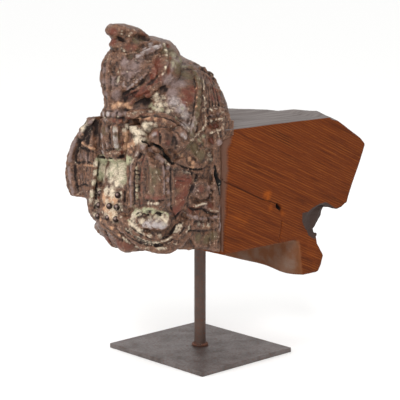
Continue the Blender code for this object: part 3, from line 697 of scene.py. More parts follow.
    "far_rim_groove": (1.5, -2.0, "soot_and_shade", False, [(96, 121), (90, 129), (84, 137), (79, 146), (76, 156),
        (75, 168), (75.5, 180), (78, 192)]),
    "far_bar_1": (1.3, 1.6, "ochre", False, [(83, 143), (88, 146), (94, 149)]),
    "far_bar_1_cut": (1.1, -1.8, "soot_and_shade", False, [(80, 148), (87, 150), (94, 152)]),
    "far_bar_2": (1.1, 1.4, "ochre", False, [(78, 166), (85, 165), (93, 166)]),
    "far_bar_2_cut": (1.0, -1.6, "soot_and_shade", False, [(77, 163), (85, 162), (93, 163)]),
    "far_bar_3": (1.0, -1.6, "soot_and_shade", False, [(77, 187), (83, 184.5), (89, 186)]),
    "far_side_cut": (1.1, -1.6, "", False, [(94, 150), (93.5, 165), (91, 180), (88.5, 192)]),
    "cheek_rim_low": (1.6, 1.6, "bole", True, [(162, 75), (157, 81), (150, 87), (144, 91), (137, 95)]),
    "crack_thin": (0.7, -2.6, "soot_and_shade", False, [(174, 163), (184, 167), (194, 169.5), (203, 169)]),
    "leaf_drop": (1.0, 1.2, "gesso", False, [(155, 185), (155, 188)]),
}

# Fine parallel cuts: half width, height, tint, on both sides, count, and two guide lines
COMBS = {
    "forelock_hair": (0.9, -2.2, "", True, 9, [(158, 43), (147, 45), (136, 51), (124, 58), (115, 63),
        (111, 70)], [(163, 53), (152, 61), (140, 68), (130, 75), (121, 82), (117, 92)]),
    "brow_hair": (0.8, -1.5, "", True, 7, [(113, 66), (114, 80), (114.5, 93), (115, 104)], [(145, 80),
        (137, 86), (128, 92), (119, 102)]),
    "temple_hair": (0.8, -1.3, "", True, 5, [(150, 62), (143, 69), (135, 76), (127, 84)], [(148, 74),
        (141, 79), (134, 84), (127, 89)]),
    "face_hair": (0.6, -0.4, "", False, 3, [(103, 64), (100.5, 78), (102, 93), (105, 107)], [(110, 62),
        (109.5, 78), (110, 93), (112, 107)]),
    "mane_hair": (0.8, -1.5, "soot_and_shade", True, 5, [(204, 74), (207, 84), (209, 95), (210, 106)], [(215, 82),
        (219, 90), (221, 99), (222.5, 107)]),
    "flap_grain": (0.6, -0.7, "soot_and_shade", True, 4, [(172, 168), (182, 169), (193, 172)], [(172, 180),
        (182, 181), (191, 182)]),
    "fan_ribs": (0.6, -1.0, "", True, 4, [(204, 130), (206, 145), (207, 162)], [(190, 143), (196, 152),
        (202, 164)]),
    "cloth_folds": (0.6, -1.0, "soot_and_shade", False, 3, [(131, 222), (137, 214), (146, 211), (156, 211),
        (164, 214)], [(137, 224), (142, 219), (149, 214), (157, 214), (163, 216)]),
    "far_grain": (0.6, -0.9, "soot_and_shade", False, 4, [(80, 150), (79, 160), (79, 172), (81, 190)], [(92, 152),
        (91, 165), (89, 178), (87, 190)]),
    "muzzle_grain": (0.5, -0.8, "soot_and_shade", False, 2, [(101.5, 126), (101, 138), (102, 150)], [(108, 126),
        (107.5, 138), (109, 148)]),
    "column_grain": (0.5, -0.7, "soot_and_shade", False, 3, [(112.5, 127), (112.5, 138), (114, 148)], [(119.5, 127),
        (119.5, 138), (119.5, 148)]),
    "strap_grain": (0.5, -0.7, "soot_and_shade", True, 1, [(134, 114.5), (148, 112.5), (161, 113), (172, 117.5),
        (185, 127)], [(134, 114.5), (148, 112.5), (161, 113), (172, 117.5), (185, 127)]),
    "garland_strands": (0.6, -1.0, "soot_and_shade", False, 3, [(128, 235), (140, 241), (153, 244.5), (166, 243)], [
        (126, 231), (138, 236.5), (150, 240.5), (163, 240)]),
    "neck_wrinkles": (0.6, -0.4, "", True, 6, [(181, 89), (188, 89), (194, 90)], [(180, 103), (187, 104),
        (193, 106)]),
    "chest_texture": (0.6, -0.8, "bole", False, 4, [(102, 186), (110, 185), (118, 184), (126, 183)], [
        (101, 214), (107, 215), (113, 214), (119, 213)]),
}

# Cords twisted of two strands: the stroke that each follows, spacing, half length and lean of cuts
ROPES = (
    ("garland_1", 3.6, 2.0, 35), ("garland_1b", 4.0, 2.0, 35), ("garland_2", 4.6, 2.0, 35),
    ("arc_2", 5.0, 1.6, 50), ("arc_3", 5.0, 1.6, 50), ("collar_ridge", 7.0, 1.8, -50),
)
# Where the harness is broken by short cuts across the leg's band: from, to, and how many
LEG_CUTS = ((137, 171), (137, 199), 8)


class Skin:
    """The points of a closed mesh, in millimetres, which strokes raise or sink."""

    def __init__(self, mesh):
        self.mesh = mesh
        count = len(mesh.vertices)
        points = np.empty(count * 3)
        mesh.vertices.foreach_get("co", points)
        self.points = points.reshape(-1, 3) / MM
        self.read_normals()
        ends = np.empty(len(mesh.edges) * 2, np.int64)
        mesh.edges.foreach_get("vertices", ends)
        self.ends = ends.reshape(-1, 2)
        self.degree = np.bincount(self.ends.ravel(), minlength=count).astype(float)

    def read_normals(self):
        normals = np.empty(len(self.mesh.vertices) * 3)
        self.mesh.vertex_normals.foreach_get("vector", normals)
        self.normals = normals.reshape(-1, 3)

    def write(self):
        self.mesh.vertices.foreach_set("co", (self.points * MM).ravel())
        self.mesh.update()
        self.read_normals()

    def spread(self, values, passes):
        """Values averaged with their neighbours' again and again."""
        start, end = self.ends.T
        size = len(self.degree)
        values = values.copy()
        for _ in range(passes):
            total = np.bincount(start, values[end], size) + np.bincount(end, values[start], size)
            values = 0.5 * values + 0.5 * total / self.degree
        return values

    def hollowness(self, passes):
        """Distance that each point lies below its smoothed surroundings."""
        smooth = np.stack([self.spread(self.points[:, axis], passes) for axis in range(3)], axis=1)
        return ((smooth - self.points) * self.normals).sum(axis=1)

    def near(self, path, reach):
        """Points within reach of a path, and their distance from it."""
        path = np.array(path, float)
        low, high = path.min(axis=0) - reach, path.max(axis=0) + reach
        inside = ((self.points > low) & (self.points < high)).all(axis=1).nonzero()[0]
        spots = self.points[inside]
        best = np.full(len(inside), np.inf)
        if len(path) == 1:
            best = np.linalg.norm(spots - path[0], axis=1)
        for start, end in zip(path, path[1:]):
            along = end - start
            share = ((spots - start) @ along / max(along @ along, 1e-9)).clip(0, 1)
            gap = np.linalg.norm(spots - start - share[:, None] * along, axis=1)
            best = np.minimum(best, gap)
        close = best < reach
        return inside[close], best[close]

    def noise(self, size, shift=0.0, octaves=3):
        """Smooth seeded noise of about -1 to 1 at each point, its features size millimetres."""
        scaled = self.points / size + shift
        fractal = noise.fractal
        return np.array([fractal(spot, 1.0, 2.0, octaves) for spot in scaled.tolist()])


def smooth_path(points, parts=4):
    """The points joined by a curve that passes through each."""
    if len(points) < 3:
        return points
    spots = np.array([points[0], *points, points[-1]], float)
    path = []
    for a, b, c, d in zip(spots, spots[1:], spots[2:], spots[3:]):
        for step in range(parts):
            t = step / parts
            path.append(0.5 * (
                2 * b + (c - a) * t + (2 * a - 5 * b + 4 * c - d) * t * t
                + (3 * b - a - 3 * c + d) * t ** 3))
    path.append(spots[-1])
    return path


class Sight:
    """Finds the spots of a skin that lie under the pixels of the 400 x 400 photograph."""

    def __init__(self, skin, stage):
        back = Vector((math.sin(stage.azimuth), -math.cos(stage.azimuth), 0.0))
        self.eye = (back * stage.distance + Vector((0, 0, stage.height))) / MM
        self.ahead = -back * math.cos(stage.pitch) - Vector((0, 0, math.sin(stage.pitch)))
        self.right = self.ahead.cross(Vector((0, 0, 1))).normalized()
        self.rise = self.right.cross(self.ahead)
        self.focus = PHOTO_SIZE * stage.focal_length / SENSOR
        faces = [face.vertices[:] for face in skin.mesh.polygons]
        self.tree = BVHTree.FromPolygons(skin.points.tolist(), faces)

    def look(self, across, down):
        middle = PHOTO_SIZE / 2
        ray = (self.ahead + self.right * (across - middle) / self.focus
               - self.rise * (down - middle) / self.focus)
        return self.tree.ray_cast(self.eye, ray.normalized())[0]

    def spot(self, pixel):
        """The spot at a pixel, or at the nearest one towards the carving's middle."""
        start = Vector(pixel)
        step = (Vector(CARVING_MIDDLE) - start).normalized() * 0.7
        for tries in range(12):
            found = self.look(*(start + step * tries))
            if found is not None:
                return found
        return None

    def spots(self, pixels):
        """Runs of spots under a line of pixels, parted where the line leaps to another depth."""
        runs = [[]]
        for pixel in smooth_path(pixels, 3):
            found = self.spot(pixel)
            if found is None:
                continue
            if runs[-1] and (found - runs[-1][-1]).length > 14:
                runs.append([])
            runs[-1].append(found)
        return [run for run in runs if run]


def all_strokes(sight):
    """Every single stroke, with the parallel cuts spread between their two guide lines."""
    drawn = list(STROKES.values())
    for width, height, tint, both, count, first, last in COMBS.values():
        first, last = (np.array(smooth_path(line, 5)) for line in (first, last))
        steps = min(len(first), len(last))
        first, last = (line[np.linspace(0, len(line) - 1, steps).round().astype(int)][::3]
                       for line in (first, last))
        for share in np.linspace(0, 1, count):
            drawn.append((width, height, tint, both, list(first + share * (last - first))))
    for name, spacing, half, lean in ROPES:
        both = STROKES[name][3]
        drawn += [(0.8, -1.3, "", both, cut)
                  for cut in rope_cuts(STROKES[name][4], spacing, half, lean)]
    first, last, count = LEG_CUTS
    for share in np.linspace(0, 1, count):
        down = first[1] + share * (last[1] - first[1])
        drawn.append((0.8, -1.3, "soot_and_shade", False, [(first[0] - 1.6, down), (last[0] + 1.6, down)]))
    for width, height, tint, both, pixels in drawn:
        for run in sight.spots(pixels):
            yield width, height, tint, run
            if both:
                yield width, height, tint, mirrored(run)


def rope_cuts(line, spacing, half, lean):
    """Short slanting cuts across a line of pixels, at even steps."""
    path = np.array(smooth_path(line, 8), float)
    steps = np.linalg.norm(np.diff(path, axis=0), axis=1)
    gone = np.concatenate([[0], steps.cumsum()])
    cuts = []
    for at in np.arange(spacing / 2, gone[-1], spacing):
        middle = np.array([np.interp(at, gone, path[:, axis]) for axis in (0, 1)])
        way = path[min(gone.searchsorted(at), len(path) - 1)] - path[gone.searchsorted(at) - 1]
        turn = math.atan2(way[1], way[0]) + math.radians(90 - lean)
        reach = half * np.array([math.cos(turn), math.sin(turn)])
        cuts.append([tuple(middle - reach), tuple(middle + reach)])
    return cuts


def carve_strokes(skin, sight, depth, remains):
    """Raises the ridges on a round section, cuts the grooves on a V, and tints both. A soot or black tint
    darkens a cut as painted shade, and a patina tint lightens a ridge partly as painted highlight. The
    hand of the carver and wear make each stroke stronger and weaker along its length."""
    rise = np.zeros(len(skin.points))
    hand = 1.0 + 1.3 * skin.noise(7.0, 5.3, 2)
    for width, height, tint, points in all_strokes(sight):
        reach = width + 0.9
        found, gap = skin.near(points, reach)
        force = hand[found].clip(0.15, 1.4) if tint != "crack_shade" else hand[found].clip(0.9, 1.2)
        line = 1 - gap / reach
        if height > 0:
            share = np.sqrt((1 - (gap / reach) ** 2).clip(0, 1))
            rise[found] = np.maximum(rise[found], 0) * 0.3 + height * force * share
        else:
            rise[found] = np.minimum(rise[found], rise[found] * 0.5 + height * force * line)
        if tint:
            fresh = force * (1.3 * line).clip(0, 1) * min(1.0, 0.3 + abs(height) / 5)
            remains[tint][found] = np.maximum(remains[tint][found], fresh)
    return rise * depth


def press_hollows(skin):
    for centre, radii, depth in HOLLOWS:
        for middle in {centre, mirrored([centre])[0]}:
            far = (((skin.points - middle) / radii) ** 2).sum(axis=1)
            share = (1 - far).clip(0, None) ** 0.75
            skin.points -= skin.normals * (share * depth)[:, None]


# Remains of paint on both sides, with patches of soot as painted shade and of silver and patina as
# painted highlight. For each place and kind: patches of strength, radius in mm, pixels
PAINT_BOTH_SIDES = {
    "topknot": {"gesso": ((0.9, 1.3, [(122, 31), (121.5, 34)]),
        (0.8, 1.8, [(134, 30), (131, 33), (129, 36)]), (0.7, 1.6, [(124, 50), (121, 48), (126, 54)]),
        (0.5, 1.6, [(131, 48)])), "ochre": ((0.5, 2.0, [(118, 46), (128, 45), (134, 46)]),),
        "bole": ((1.0, 4.5, [(113, 32), (113, 42)]), (0.8, 4.0, [(128, 47), (134, 47)])),
        "olive": ((0.9, 4.5, [(136, 41), (143, 41)]), (0.6, 3.5, [(138, 50), (130, 56)])),
        "soot_and_shade": ((0.5, 4.0, [(144, 38), (149, 39)]),)},
    "head_top": {"painted_highlight": ((0.45, 1.6, [(152, 46), (142, 52), (132, 58)]),
        (0.9, 4.5, [(152, 45), (146, 49), (157, 46)]), (0.6, 3.5, [(143, 52), (138, 56), (148, 55)])),
        "gesso": ((0.8, 1.4, [(148, 50), (136, 57), (126, 62), (120, 68)]),),
        "patina_and_highlight": ((0.7, 6.0, [(150, 50), (140, 58), (128, 66), (136, 72)]),)},
    "forehead": {"soot_and_shade": ((0.55, 6, [(106, 64), (108, 74), (107, 86), (112, 80)]),),
        "patina_and_highlight": ((0.8, 4, [(104, 70), (104, 82), (106, 94)]),
        (0.9, 6.0, [(125, 62), (135, 65), (127, 75), (117, 95), (114, 82)])),
        "gesso": ((0.8, 1.2, [(121, 64), (118, 72), (113, 61), (127, 72), (106, 62), (136, 60)]),
        (0.45, 1.4, [(129, 86), (134, 83)])), "painted_highlight": ((0.7, 2.4, [(128, 86), (132, 84), (136, 81)]),
        (0.55, 3.0, [(141, 78), (130, 80), (124, 84)]))},
    "temple": {"bole": ((0.8, 5.0, [(157, 62), (155, 71), (159, 66)]),),
        "ochre": ((0.45, 2.0, [(153, 69), (155, 76)]),)},
    "cheek_rim": {"gesso": ((1.2, 1.8, [(163.5, 46), (165, 51), (166, 56), (166.5, 61), (165.5, 67)]),
        (0.95, 1.5, [(164, 47), (166, 54), (166.5, 61), (165, 69)])),
        "bole": ((0.9, 2.6, [(162, 75), (156, 82)]),)},
    "eye": {"bole": ((1.1, 4.0, [(128, 96), (135, 93), (143, 90)]),
        (0.8, 3.0, [(170, 56), (169, 70), (162, 80)])),
        "soot_and_shade": ((0.75, 4.2, [(129, 95), (136, 93), (144, 90), (126, 99)]),
        (0.6, 4.0, [(153, 80), (157, 77), (149, 85)]), (0.9, 3.6, [(141, 101), (145, 103)])),
        "gesso": ((0.35, 1.8, [(136, 99), (131, 103)]),)},
    "nose": {"ochre": ((1.0, 3.6, [(114, 106), (119, 104), (125, 104), (129, 107)]),),
        "gesso": ((0.5, 2.4, [(119, 106), (113, 104)]),)},
    "cheek": {"gesso": ((0.95, 4.0, [(156, 95), (158, 100), (160, 105), (158, 110)]),
        (0.8, 3.6, [(165, 104), (168, 111), (163, 98)]), (0.5, 1.8, [(160, 86)])),
        "ochre": ((0.5, 3.0, [(156, 98), (162, 106)]),),
        "green": ((0.8, 4.0, [(151, 106), (155, 109), (161, 110)]),),
        "soot_and_shade": ((0.8, 3.0, [(162, 88), (166, 90), (158, 87)]),)},
    "neck": {"olive": ((1.1, 9, [(168, 50), (174, 57), (180, 64)]),
        (1.0, 5.5, [(183, 73), (188, 77), (178, 70)])), "green": ((0.5, 7, [(170, 54), (177, 62)]),
        (0.7, 2.5, [(176, 118), (182, 108), (171, 116)]),
        (0.6, 5.5, [(174, 55), (173, 64), (181, 60), (184, 66)])),
        "soot_and_shade": ((0.45, 2.2, [(178, 103), (185, 112), (176, 112), (188, 121), (181, 98)]),
        (0.6, 6.0, [(176, 56), (182, 63), (187, 69), (172, 50)]),
        (0.4, 5.0, [(182, 62), (186, 70), (178, 72)]), (0.45, 5.0, [(184, 72), (188, 66), (180, 74)])),
        "patina_and_highlight": ((0.7, 6.0, [(176, 58), (182, 65), (172, 66)]),
        (1.0, 6.5, [(168, 80), (174, 84), (172, 92), (180, 83)])),
        "painted_highlight": ((0.36, 4.0, [(176, 83), (172, 78)]),
        (0.79, 8.0, [(174, 102), (181, 108), (186, 116), (187, 125)])),
        "bole": ((1.0, 5.5, [(186, 92), (190, 98), (184, 102), (193, 90)]),),
        "ochre": ((0.5, 2.4, [(183, 94), (192, 92)]),),
        "gesso": ((0.5, 6.0, [(178, 104), (184, 115), (172, 108), (187, 128)]),
        (0.5, 2.4, [(172, 116), (178, 121)]))},
    "collar": {"ochre": ((1.0, 1.4, [(196, 88), (196.5, 98), (196, 107)]),),
        "olive": ((1.0, 3.4, [(200, 80), (200, 92), (200, 103), (198, 113), (196, 124), (192, 134)]),),
        "soot_and_shade": ((0.55, 4.0, [(198, 108), (197, 120), (194, 132)]),),
        "gesso": ((0.8, 1.4, [(203, 86), (203.5, 96), (204, 106), (205, 116)]),)},
    "mane": {"soot_and_shade": ((0.5, 5, [(208, 80), (213, 90), (216, 100)]), (0.5, 6.0, [(208, 88), (214, 98)]),
        (0.6, 5.0, [(209, 76), (214, 86), (217, 97), (203, 70)]),
        (0.9, 3.6, [(195, 64), (202, 68), (209, 73)])), "gesso": ((1.3, 1.6, [(211, 110), (216, 109),
        (211, 121), (217, 119.5), (211, 132), (217, 130)]),
        (1.0, 1.5, [(222, 112), (223, 124), (206, 118), (206, 108)]),
        (0.6, 1.2, [(194, 78), (206, 82), (211, 86)]), (0.8, 2.6, [(206, 103), (204, 110)]),
        (1.1, 1.5, [(211, 111), (218, 109), (211, 121), (219, 119), (211, 132), (219, 130)]),
        (0.8, 1.4, [(214, 137), (219, 136), (224, 138), (218, 133)])),
        "bole": ((0.9, 4.5, [(211, 80), (215, 90), (213, 98), (219, 98)]),
        (0.8, 3.0, [(210, 127), (216, 126), (211, 140)])),
        "ochre": ((0.35, 2.0, [(205, 76), (209, 79), (208, 92)]),),
        "green": ((0.7, 2.0, [(221, 108), (222, 118)]),), "patina_and_highlight": ((0.9, 2.4, [(212, 116), (217, 114)]),
        (1.0, 3.0, [(219, 142.5)]))},
    "cheek_strap": {"gesso": ((0.7, 2.2, [(133, 113), (136, 112), (129, 116)]),
        (0.35, 2.4, [(150, 109), (160, 112), (140, 109)]),
        (0.7, 3.4, [(134, 113), (141, 112), (150, 111), (158, 113)]),
        (1.1, 3.6, [(134, 126), (145, 125), (151, 125)])),
        "ochre": ((0.7, 2.0, [(138, 117), (146, 116), (154, 117), (162, 117)]),
        (0.9, 3.0, [(140, 119), (148, 118), (156, 119), (164, 121)])),
        "bole": ((0.6, 2.4, [(150, 119), (160, 120), (143, 114)]),)},
    "jaw": {"gesso": ((1.0, 3.4, [(127, 127), (132, 126), (125, 130)]),
        (1.0, 2.8, [(144, 125), (149, 124), (155, 124.5)]),
        (1.15, 4.8, [(136, 132), (142, 133), (143, 139), (138, 137)]),
        (0.6, 2.4, [(131, 146), (141, 148), (128, 152)])),
        "green": ((0.6, 3.0, [(147, 140), (134, 136), (146, 134)]),),
        "ochre": ((1.05, 4.2, [(126, 133), (127, 140), (126, 147)]),
        (0.7, 3.2, [(133, 146), (138, 143), (131, 152)])),
        "bole": ((0.7, 2.4, [(122, 152), (128, 156), (123, 145)]),)},
    "lobes": {"soot_and_shade": ((0.5, 5, [(152, 138), (166, 135), (176, 142)]),
        (0.8, 5.0, [(166, 134), (174, 140), (158, 138)]),
        (0.8, 7.0, [(156, 138), (168, 137), (176, 144), (166, 146)])),
        "bole": ((0.8, 5, [(157, 133), (168, 143)]), (0.4, 6.0, [(170, 136), (160, 134)])),
        "ochre": ((0.8, 1.6, [(160, 131)]),),
        "painted_highlight": ((0.7, 2.8, [(182, 135), (185, 138), (154, 134)]),),
        "patina_and_highlight": ((0.35, 4.0, [(171, 138), (177, 141)]),),
        "gesso": ((0.8, 1.3, [(171, 126), (176, 128), (165, 123)]),)},
    "fan": {"gesso": ((0.9, 2.0, [(203, 129), (198, 134), (192, 139)]),
        (0.5, 3.4, [(206, 148), (209, 155), (207, 162), (211, 160)]),
        (0.4, 2.6, [(186, 158), (198, 168), (180, 155)])),
        "green": ((0.6, 3.0, [(204, 136), (203, 144), (199, 140)]),),
        "olive": ((1.1, 6.0, [(194, 148), (201, 155), (190, 146)]),),
        "ochre": ((1.0, 2.6, [(179, 153), (182, 156)]), (0.95, 3.0, [(189, 159), (193, 163), (192, 168)]),
        (0.7, 2.2, [(194, 174), (193, 180)]))},
    "flap": {"bole": ((1.2, 6, [(184, 180), (184, 192), (181, 202)]),
        (1.1, 7.0, [(178, 182), (184, 190), (180, 200), (177, 210), (188, 182)])),
        "soot_and_shade": ((0.6, 4, [(175, 174), (188, 175), (174, 186)]), (0.35, 8.0, [(180, 186), (178, 202)]),
        (0.85, 4.2, [(176, 169), (185, 171), (192, 173)])),
        "olive": ((0.7, 7.0, [(182, 180), (178, 206)]), (0.5, 7.0, [(178, 190), (184, 182)])),
        "patina_and_highlight": ((1.1, 2.2, [(168, 168), (168, 180), (168.5, 192), (169, 205), (170, 214)]),),
        "ochre": ((0.45, 6.0, [(181, 190), (186, 186), (178, 202)]),),
        "gesso": ((1.0, 1.4, [(176, 181)]),)},
    "roundel": {"bole": ((0.7, 5.0, [(201, 189), (197, 210), (210, 206), (190, 210)]),),
        "gesso": ((0.8, 1.1, [(190, 203), (195, 206), (200, 203), (206, 204), (210, 210), (217, 211)]),
        (0.6, 1.1, [(185, 213), (190, 218), (204, 221), (216, 221)]),
        (0.5, 1.2, [(194, 188), (198, 183), (206, 184), (203, 195)]))},
    "flank_low": {"patina_and_highlight": ((0.5, 6.0, [(195, 190), (205, 205), (198, 222), (208, 190)]),
        (0.9, 2.4, [(223, 160), (223, 185), (222, 210), (221, 230)])),
        "gesso": ((0.7, 3.0, [(203, 226), (208, 225), (199, 224)]), (0.7, 1.2, [(213, 223), (217, 226)])),
        "ochre": ((0.7, 3.0, [(204, 228), (208, 228)]),),
        "olive": ((0.9, 5.5, [(198, 238), (206, 240), (213, 236)]),),
        "green": ((0.4, 4.0, [(200, 234), (208, 237)]),)},
}
# The same on the near side alone
PAINT_NEAR_SIDE = {
    "forehead": {"soot_and_shade": ((0.6, 2.8, [(101, 70), (100, 84), (102, 98), (104, 107)]),)},
    "noseband": {"patina_and_highlight": ((0.9, 3.5, [(108, 113), (117, 113), (126, 113)]),
        (0.8, 3.0, [(113, 115), (120, 115)])), "gesso": ((0.9, 1.6, [(106, 112), (118, 117), (104, 118)]),
        (0.7, 1.4, [(120, 114), (114, 113), (104, 112)])),
        "painted_highlight": ((0.8, 3.0, [(103, 114), (107, 114), (107, 120)]),),
        "ochre": ((0.5, 2.0, [(121, 121), (118, 122)]),),
        "bole": ((0.8, 3.0, [(114, 121), (120, 121), (128, 118)]),)},
    "jaw": {"gesso": ((1.2, 5.5, [(133, 128), (140, 132), (146, 126), (137, 140), (142, 141)]),),
        "ochre": ((1.0, 3.6, [(127, 136), (128, 145), (133, 143)]),)},
    "muzzle": {"olive": ((0.9, 5, [(104, 130), (116, 138), (116, 146)]),),
        "soot_and_shade": ((0.5, 3.5, [(102, 136), (106, 144), (120, 134)]),
        (0.5, 4.0, [(104, 140), (120, 150), (108, 150)])),
        "bole": ((0.5, 4.0, [(112, 146), (118, 140), (104, 128)]),), "painted_highlight": ((0.8, 3.0, [(115, 130),
        (115, 138), (116, 146), (101, 136), (102, 146), (103, 152)]),
        (0.6, 2.2, [(113, 130), (116, 142)])),
        "gesso": ((0.6, 1.3, [(101, 134), (102, 143), (103, 150), (107, 128)]),
        (0.8, 1.6, [(111, 153), (116, 153)])), "patina_and_highlight": ((0.7, 3.0, [(107, 130), (107, 145)]),),
        "green": ((0.5, 3.2, [(115, 129), (115, 137), (116, 145), (117, 149)]),)},
    "fan": {"gesso": ((0.6, 1.4, [(165, 155), (172, 162), (180, 168)]),)},
    "near_leg": {"soot_and_shade": ((0.45, 4, [(152, 172), (157, 190), (150, 184)]),),
        "green": ((0.8, 2, [(137, 174), (137, 186), (137, 196)]),
        (0.85, 2.2, [(137, 168), (137, 178), (137, 188), (137, 198)])),
        "olive": ((0.6, 6.0, [(154, 176), (150, 186)]),
        (0.9, 4.5, [(150, 170), (154, 182), (158, 172), (152, 190)]),
        (0.8, 3.0, [(134, 206), (139, 210), (146, 208)])),
        "patina_and_highlight": ((0.8, 3.0, [(142, 147), (138, 154), (150, 150), (157, 158)]),
        (1.0, 2.0, [(131, 168), (131.5, 182), (131.5, 196)])),
        "gesso": ((0.6, 1.3, [(144, 147), (139, 152), (155, 154), (162, 162)]),
        (0.6, 1.2, [(136, 172), (138, 182), (136, 190), (138, 165)]),
        (1.1, 1.3, [(155, 167), (156, 173), (158.5, 180), (155, 186)]),
        (0.8, 1.2, [(163, 189), (147, 193), (164, 180), (160, 207)]),
        (1.15, 2.2, [(149, 203), (153, 203.5), (157, 203.5)])),
        "bole": ((1.0, 1.8, [(142, 160), (142, 175), (142, 190), (142, 203)]),
        (0.9, 2.4, [(149, 197), (157, 198), (163, 197)]))},
    "cloth": {"gesso": ((0.85, 5.0, [(150, 219), (158, 219), (165, 222)]),
        (1.02, 4.2, [(134, 216), (140, 212), (162, 216), (166, 220), (132, 224)]),
        (0.98, 4.2, [(133, 219), (135, 226), (141, 221), (139, 230)]),
        (0.94, 3.0, [(163, 214), (166, 218), (150, 217), (156, 217)])),
        "painted_highlight": ((1.1, 5.0, [(148, 225), (156, 225), (163, 226)]), (0.7, 4.0, [(150, 220), (158, 220)]),
        (0.7, 3.4, [(144, 225), (149, 227), (155, 224), (162, 225)])),
        "green": ((1.15, 4.4, [(137, 213), (145, 211), (153, 211), (160, 213)]),),
        "ochre": ((0.4, 2.2, [(147, 226)]),)},
    "garland": {"gesso": ((0.8, 3.0, [(140, 233), (150, 236), (160, 236), (172, 232), (130, 230)]),
        (0.9, 2.4, [(137, 232), (143, 234), (149, 236)]),
        (0.85, 1.4, [(126, 229), (132, 234), (139, 239), (145, 241)]),
        (1.15, 3.2, [(177, 228), (180, 226), (176, 231)]),
        (0.7, 1.2, [(183, 233), (187, 230), (180, 238), (170, 243)])),
        "ochre": ((0.9, 1.6, [(154, 246), (159, 247), (164, 245)]),)},
    "chest": {"gesso": ((1.2, 1.5, [(104, 190), (112, 187), (122, 186), (103, 200), (113, 202),
        (122, 210), (102, 212), (110, 212), (121, 217)]), (0.9, 5.5, [(99, 192), (119, 195), (97, 204),
        (118, 207), (96, 215), (116, 219)]), (0.85, 8.0, [(104, 167), (112, 169), (121, 168), (104, 177),
        (112, 179), (120, 177)]), (0.9, 6.0, [(106, 192), (112, 194), (108, 203), (113, 209), (107, 215),
        (114, 217)]), (1.1, 4.0, [(96, 164), (95, 173), (94, 182), (92, 192), (91, 200)]),
        (1.0, 6.0, [(107, 172), (115, 173), (122, 172)]),
        (1.1, 5.5, [(106, 190), (112, 190), (117, 184)]), (0.8, 4.5, [(107, 200), (109, 207)]),
        (0.95, 2.6, [(96, 165), (94.5, 175), (93.5, 185), (92, 196)])), "soot_and_shade": ((0.7, 1.6, [(108, 193),
        (104, 206), (113, 197), (111, 222), (124, 195), (101, 199)]),),
        "ochre": ((1.0, 2.5, [(106, 200), (112, 209), (104, 209), (113, 190)]),
        (1.3, 6.0, [(104, 196), (113, 200), (107, 208), (112, 215)]),
        (1.1, 5.0, [(105, 200), (108, 208), (109, 216)])), "green": ((1.0, 8.0, [(104, 165), (114, 164),
        (122, 168), (102, 174), (112, 172), (122, 178)]),
        (1.15, 6.0, [(103, 160), (112, 162), (121, 163), (127, 160)]),
        (0.8, 5.0, [(105, 170), (124, 168), (117, 167)]),
        (1.1, 3.0, [(97, 160), (95.5, 172), (94, 183), (92, 195)])),
        "bole": ((0.6, 1.6, [(103, 181), (111, 184), (116, 179), (104, 196), (114, 197)]),
        (0.8, 2.4, [(99, 198), (98, 209), (113, 210), (100, 188)]))},
    "breast_band": {"ochre": ((1.1, 2.2, [(101, 220), (106, 223), (112, 228), (119, 235)]),)},
    "chest_edge": {"ochre": ((0.8, 2.4, [(128, 193), (129, 204), (127, 215), (130, 224)]),),
        "gesso": ((0.6, 1.6, [(129, 198), (128, 210), (124, 214)]),
        (0.8, 1.2, [(122.5, 206), (122, 214)])),
        "bole": ((0.8, 1.8, [(126, 166), (126, 175), (125, 184), (128, 218)]),)},
    "far_leg": {"soot_and_shade": ((0.9, 5.0, [(86, 132), (90, 138), (94, 132), (88, 126)]),
        (0.9, 6.5, [(91, 130), (95, 124), (88, 140), (84, 148), (80, 140)])),
        "ochre": ((0.9, 1.5, [(84, 143), (88, 146)]),), "gesso": ((0.8, 1.2, [(86, 146), (90, 148)]),
        (0.7, 1.0, [(79, 166), (84, 165)])), "patina_and_highlight": ((0.7, 4.5, [(84, 155), (88, 158), (80, 156)]),
        (0.6, 4.0, [(82, 176), (83, 190)]), (0.7, 2.6, [(71, 160), (71, 175), (75, 145), (82, 133)])),
        "bole": ((0.35, 5.0, [(80, 174), (86, 176)]),)},
    "bottom_lobes": {"bole": ((0.8, 7.0, [(108, 240), (118, 245), (128, 246)]),),
        "painted_highlight": ((0.6, 2.0, [(112, 237), (109, 234)]),),
        "patina_and_highlight": ((0.6, 3.0, [(98, 224), (95, 215)]),)},
}


# Kinds of colour on the carving: soot and black are painted shade, soot also dirt; silver and patina are
# partly painted highlight
KINDS = ("gesso", "green", "ochre", "olive", "patina_and_highlight", "bole", "painted_highlight", "soot_and_shade", "crack_shade")


def paint_patches():
    """Every patch as kind, strength, radius, whether on both sides, and pixels."""
    for both, places in ((True, PAINT_BOTH_SIDES), (False, PAINT_NEAR_SIDE)):
        for kinds in places.values():
            for kind, patches in kinds.items():
                for strength, radius, pixels in patches:
                    yield kind, strength, radius, both, pixels


def lay_remains(skin, sight):
    """How strongly each kind of paint, painted shade and painted highlight remains at each point, 0 to 1.
    """
    remains = {kind: np.zeros(len(skin.points)) for kind in KINDS}
    for kind, strength, radius, both, pixels in paint_patches():
        spots = [found for found in map(sight.spot, pixels) if found is not None]
        for spot in spots + (mirrored(spots) if both else []):
            found, gap = skin.near([spot], 1.6 * radius)
            share = strength * (1 - (gap / (1.6 * radius)) ** 2) ** 2
            remains[kind][found] = np.maximum(remains[kind][found], share)
    return remains


# Materials


def put(tree, kind, values=None, links=None, **settings):
    """Adds a node, with its settings, its fixed inputs and what feeds the others."""
    node = tree.nodes.new(kind)
    for name, value in settings.items():
        setattr(node, name, value)
    for name, value in (values or {}).items():
        node.inputs[name].default_value = value
    for name, source in (links or {}).items():
        tree.links.new(source, node.inputs[name])
    return node


